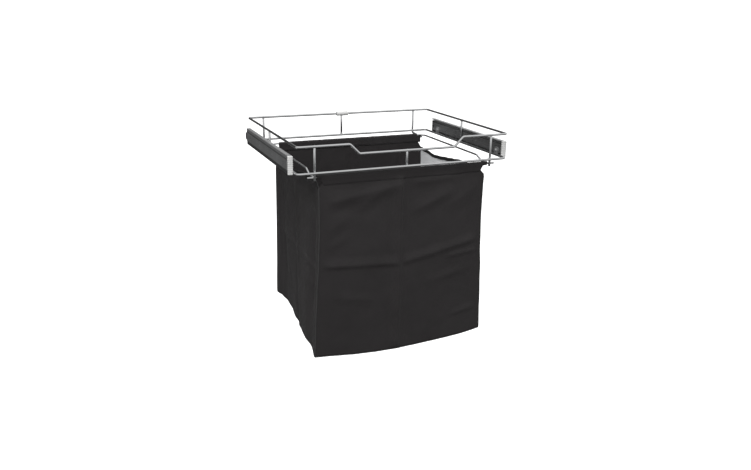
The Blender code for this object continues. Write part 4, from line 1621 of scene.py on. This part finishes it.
@dataclass
class Slides:
    """The pair of ball-bearing slides and what fastens them to the frame.

    Attributes:
        ball: Radius of a ball.
        balls: Balls in a row.
        outer_depth: How far the outer cage's balls are from the cage's wall side.
        inner_depth: The same for the inner cage.
        cap_ribs: Ribs on a front end cap.
        rib_rows: Rows of cells to a rib.
        rib_depth: How deep the grooves between them are.
        cap_edge: Radius of a cap's edges.
        cap_depth: How far a cap goes back.
        bumper_gap: Half the angle of the bumper's slit.
        bumper_turns: Cells round the bumper.
        bumper_fit: Gap between the bumper and the rail.
    """

    ball: float = 0.00185
    balls: int = 6
    outer_depth: float = 0.0043
    inner_depth: float = 0.0037
    cap_ribs: int = 9
    rib_rows: int = 8
    rib_depth: float = 0.0005
    cap_edge: float = 0.0016
    cap_depth: float = 0.008
    bumper_gap: float = 0.32
    bumper_turns: int = 28
    bumper_fit: float = 0.0003

    def build(self) -> None:
        """Dress every piece of both slides, and make their balls, caps and the rail's bumper."""
        looks = {
            "cabinet_member": STRIP, "intermediate_member": INNER_STRIP, "basket_member": INNER_STRIP,
            "outer_ball_cage": CAGE_ZINC, "inner_ball_cage": CAGE_ZINC, "lever_rivet": FASTENER,
            "release_lever": BLACK_PLASTIC, "rear_stop": BLACK_PLASTIC, "mounting_tab": FASTENER,
            "mounting_screw": FASTENER,
        }
        for name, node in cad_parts.items():
            for ending, finish in looks.items():
                if name.endswith(ending):
                    node.data.materials.clear()
                    node.data.materials.append(finish.material())
                    log.info("%s: %s", name, finish.name)
        for word in ("left", "right"):
            self.cap(word)
            for which in ("outer", "inner"):
                self.bearing(word, which)
        self.bumper()

    def bearing(self, word: str, which: str) -> None:
        """Put smooth balls in a cage, over the rough ones of its CAD node.

        Args:
            word: The slide, left or right.
            which: The cage, outer or inner.
        """
        low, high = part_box(f"{word}_{which}_ball_cage")
        depth = self.outer_depth if which == "outer" else self.inner_depth
        x = low.x + depth if word == "left" else high.x - depth
        pitch = (high.y - low.y) / self.balls
        height = (high.z - low.z) / 2 - self.ball
        middle = (low.z + high.z) / 2
        dots = []
        for number in range(self.balls):
            for level in (-height, height):
                place = Vector((x, low.y + (number + 0.5) * pitch, middle + level))
                dots.append((place, (1.0, 1.0, 1.0)))
        made = {"radius": self.ball * 1.02, "sides": 16}
        piece = GeometryTool.make(Tool.DOTS, f"{word}_{which}_balls", dot_mesh(dots), BALL_STEEL, **made)
        settle(piece, BALL_STEEL, f"{word}_{which}_cage")

    def cap(self, word: str) -> None:
        """Make a front end cap: a rounded block with fine ribs across its face.

        Args:
            word: The slide, left or right.
        """
        node = f"{word}_front_end_cap"
        low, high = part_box(node)
        back = low.y + self.cap_depth
        middle = Vector(((low.x + high.x) / 2, (low.y + back) / 2, 0.0))
        half_x, half_y = (high.x - low.x) / 2, (back - low.y) / 2
        rows = self.cap_ribs * self.rib_rows
        bm = bmesh.new()
        rings = []
        for row in range(rows + 1):
            share = row / rows
            height = low.z + (high.z - low.z) * share
            edge = min(height - low.z, high.z - height)
            bite = max(0.0, self.cap_edge - edge)
            round_off = self.cap_edge - math.sqrt(max(0.0, self.cap_edge**2 - bite**2))
            groove = self.rib_depth * (0.5 + 0.5 * math.cos(math.tau * self.cap_ribs * share)) ** 3
            inset = max(round_off, groove if edge > self.cap_edge else 0.0)
            spots = self.outline(middle, half_x, half_y, inset)
            rings.append([bm.verts.new((x, y, height)) for x, y in spots])
        bridge(bm, rings, closed=True)
        bm.faces.new(rings[0][::-1])
        bm.faces.new(rings[-1])
        mesh = mesh_of(bm, f"{node}_ribbed", WHITE_PLASTIC)
        settle(linked(f"{node}_ribbed", mesh), WHITE_PLASTIC, "basket", node)

    def outline(
        self, middle: Vector, half_x: float, half_y: float, inset: float,
    ) -> list[tuple[float, float]]:
        """Draw a cap's outline at one height: a rounded rectangle, drawn in at the sides and the front.

        Args:
            middle: The cap's middle.
            half_x: Its half width.
            half_y: Its half depth.
            inset: How far it is drawn in.

        Returns:
            The outline's points.
        """
        radius = self.cap_edge
        points = []
        for quarter, (sign_x, sign_y) in enumerate(((1, 1), (-1, 1), (-1, -1), (1, -1))):
            for step in range(5):
                angle = math.pi / 2 * (quarter + step / 4)
                x = sign_x * (half_x - inset - radius) + radius * math.cos(angle)
                y = sign_y * (half_y - inset * (sign_y < 0) - radius) + radius * math.sin(angle)
                points.append((middle.x + x, middle.y + y))
        return points

    def bumper(self) -> None:
        """Make the split white tube that is clipped over the rear rail."""
        low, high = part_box("rear_rail_bumper")
        outer, bore = (high.z - low.z) / 2, WIRE + self.bumper_fit
        turns, open_arc = self.bumper_turns, math.tau - 2 * self.bumper_gap
        angles = [self.bumper_gap + open_arc * turn / turns for turn in range(turns + 1)]
        stations = [(low.x, 0.0011), (low.x + 0.0003, 0.0004), (low.x + 0.0011, 0.0)]
        stations += [(-x, inset) for x, inset in reversed(stations)]
        bm = bmesh.new()
        rings = []
        for x, inset in stations:
            outside, inside = outer - inset, bore + inset * 0.3
            loop = [(outside * math.cos(angle), outside * math.sin(angle)) for angle in angles]
            loop += [(inside * math.cos(angle), inside * math.sin(angle)) for angle in reversed(angles)]
            rings.append([bm.verts.new((x, REAR_Y + y, UPPER_Z + z)) for y, z in loop])
        bridge(bm, rings, closed=True)
        count = len(rings[0])
        for ring in (rings[0], rings[-1]):
            for index in range(turns):
                far = count - 1 - index
                bm.faces.new((ring[index], ring[index + 1], ring[far - 1], ring[far]))
        bmesh.ops.recalc_face_normals(bm, faces=bm.faces)
        mesh = mesh_of(bm, "rear_bumper_tube", WHITE_PLASTIC)
        settle(linked("rear_bumper_tube", mesh), WHITE_PLASTIC, "basket", "rear_rail_bumper")


# ---------------------------------------------------------------- studio


@dataclass
class Studio:
    """Camera, pale floor and soft lights.

    Attributes:
        floor_z: Height of the floor; the object hangs above it from its closet walls.
        reach: Radius of the flat floor before it curves up.
        cove: Radius of the curve.
        wall: How high the wall behind it goes.
        turns: Cells round the floor.
        glow: Light that the floor gives by itself, so that it reads as white paper.
        far_end: Way to the dark far end of the room.
        lens: Focal length in millimetres.
        sensor: Sensor width in millimetres.
        stand: The camera's place.
        turn: Its rotation in degrees.
        aim: What the lamps look at.
    """

    floor_z: float = -0.42
    reach: float = 3.4
    cove: float = 1.2
    wall: float = 4.5
    turns: int = 64
    glow: float = 0.70
    far_end: Point = (-0.358, 0.921, 0.154)
    lens: float = 34.03
    sensor: float = 36.0
    stand: Point = (-0.7735, -1.8033, 0.9058)
    turn: Point = (71.694, -0.921, -23.384)
    aim: Point = (0.0, 0.0, 0.35)

    # Brightness of the room from straight down to straight up.
    heights = ((0.0, 0.06), (0.34, 0.16), (0.46, 0.42), (0.56, 0.70), (1.0, 0.72))
    # How much of that is left, up to the middle of the far end.
    depths = ((0.0, 1.0), (0.84, 1.0), (0.90, 0.42), (0.955, 0.12), (1.0, 0.09))

    def build(self) -> None:
        """Set up the stage."""
        self.floor()
        self.camera()
        self.sky()
        self.lamp("key_lamp", (-0.9, -2.5, 2.6), 1.2, 70.0)
        self.lamp("side_lamp", (-2.5, -0.3, 2.4), 1.4, 21.0)
        self.lamp("top_lamp", (0.1, 0.3, 2.7), 1.8, 14.0)

    def floor(self) -> None:
        """Turn a pale round floor with a wall that curves up out of it."""
        profile = [(self.reach, 0.0)]
        for step in range(1, 9):
            angle = math.pi / 2 * step / 8
            profile.append((self.reach + self.cove * math.sin(angle), self.cove * (1 - math.cos(angle))))
        profile.append((self.reach + self.cove, self.wall))
        angles = [math.tau * turn / self.turns for turn in range(self.turns)]
        bm = bmesh.new()
        middle = bm.verts.new((0, 0, self.floor_z))
        rings = []
        for radius, height in profile:
            z = self.floor_z + height
            rings.append([bm.verts.new((radius * math.cos(a), radius * math.sin(a), z)) for a in angles])
        for turn, corner in enumerate(rings[0]):
            bm.faces.new((middle, corner, rings[0][(turn + 1) % self.turns]))
        bridge(bm, rings, closed=True, flip=True)
        mesh = mesh_of(bm, "floor")
        material = bpy.data.materials.new("floor_paper")
        material.use_nodes = True
        shader = material.node_tree.nodes["Principled BSDF"]
        paper = {"Base Color": grey(0.9), "Roughness": 0.9, "Emission Color": grey(1.0)}
        for name, value in {**paper, "Emission Strength": self.glow}.items():
            shader.inputs[name].default_value = value
        mesh.materials.append(material)
        stage = linked("floor", mesh)
        stage.visible_glossy = False
        stage.visible_diffuse = False
        stage.visible_shadow = False

    def camera(self) -> None:
        """Stand the camera in front, to the left and above."""
        data = bpy.data.cameras.new("camera")
        data.lens = self.lens
        data.sensor_width = self.sensor
        view = linked("camera", data)
        view.location = self.stand
        view.rotation_euler = [math.radians(angle) for angle in self.turn]
        bpy.context.scene.camera = view

    def sky(self) -> None:
        """Light the room evenly from the front and above, with a dark far end and a dim floor to mirror."""
        world = bpy.data.worlds.new("studio")
        world.use_nodes = True
        bpy.context.scene.world = world
        graph = Graph(world.node_tree)
        place = graph.place("Generated")
        toward = {"operation": "DOT_PRODUCT"}
        away = graph.node("ShaderNodeVectorMath", toward, {0: place, 1: self.far_end}, out=1)
        ramps = []
        for value, stops in ((graph.axis(place, 2), self.heights), (away, self.depths)):
            levels = {"stops": [(spot, grey(level)) for spot, level in stops]}
            ramps.append(graph.node("ShaderNodeValToRGB", levels, {0: value * 0.5 + 0.5}))
        blend = {"data_type": "RGBA", "blend_type": "MULTIPLY"}
        light = graph.node("ShaderNodeMix", blend, {0: 1.0, 6: ramps[0], 7: ramps[1]}, out=2)
        backdrop = world.node_tree.nodes["Background"]
        world.node_tree.links.new(light.output, backdrop.inputs[0])
        backdrop.inputs[1].default_value = 1.0

    def lamp(self, name: str, place: Point, size: float, power: float) -> None:
        """Add a soft lamp that looks at the middle of the object.

        Args:
            name: Its name.
            place: Where it hangs.
            size: Its width.
            power: Its power in watts.
        """
        data = bpy.data.lights.new(name, "AREA")
        data.size = size
        data.energy = power
        lamp = linked(name, data)
        lamp.location = place
        aim = Vector(self.aim) - Vector(place)
        lamp.rotation_euler = aim.to_track_quat("-Z", "Y").to_euler()
        lamp.visible_glossy = False


def main() -> None:
    """Build the studio and every sub-assembly, in order."""
    logging.basicConfig(level=logging.INFO, format="%(name)s: %(message)s")
    bpy.context.scene.view_settings.view_transform = "Standard"
    Studio().build()
    WireBasket().build()
    Slides().build()
    Bag().build()


if __name__ == "__main__":
    main()
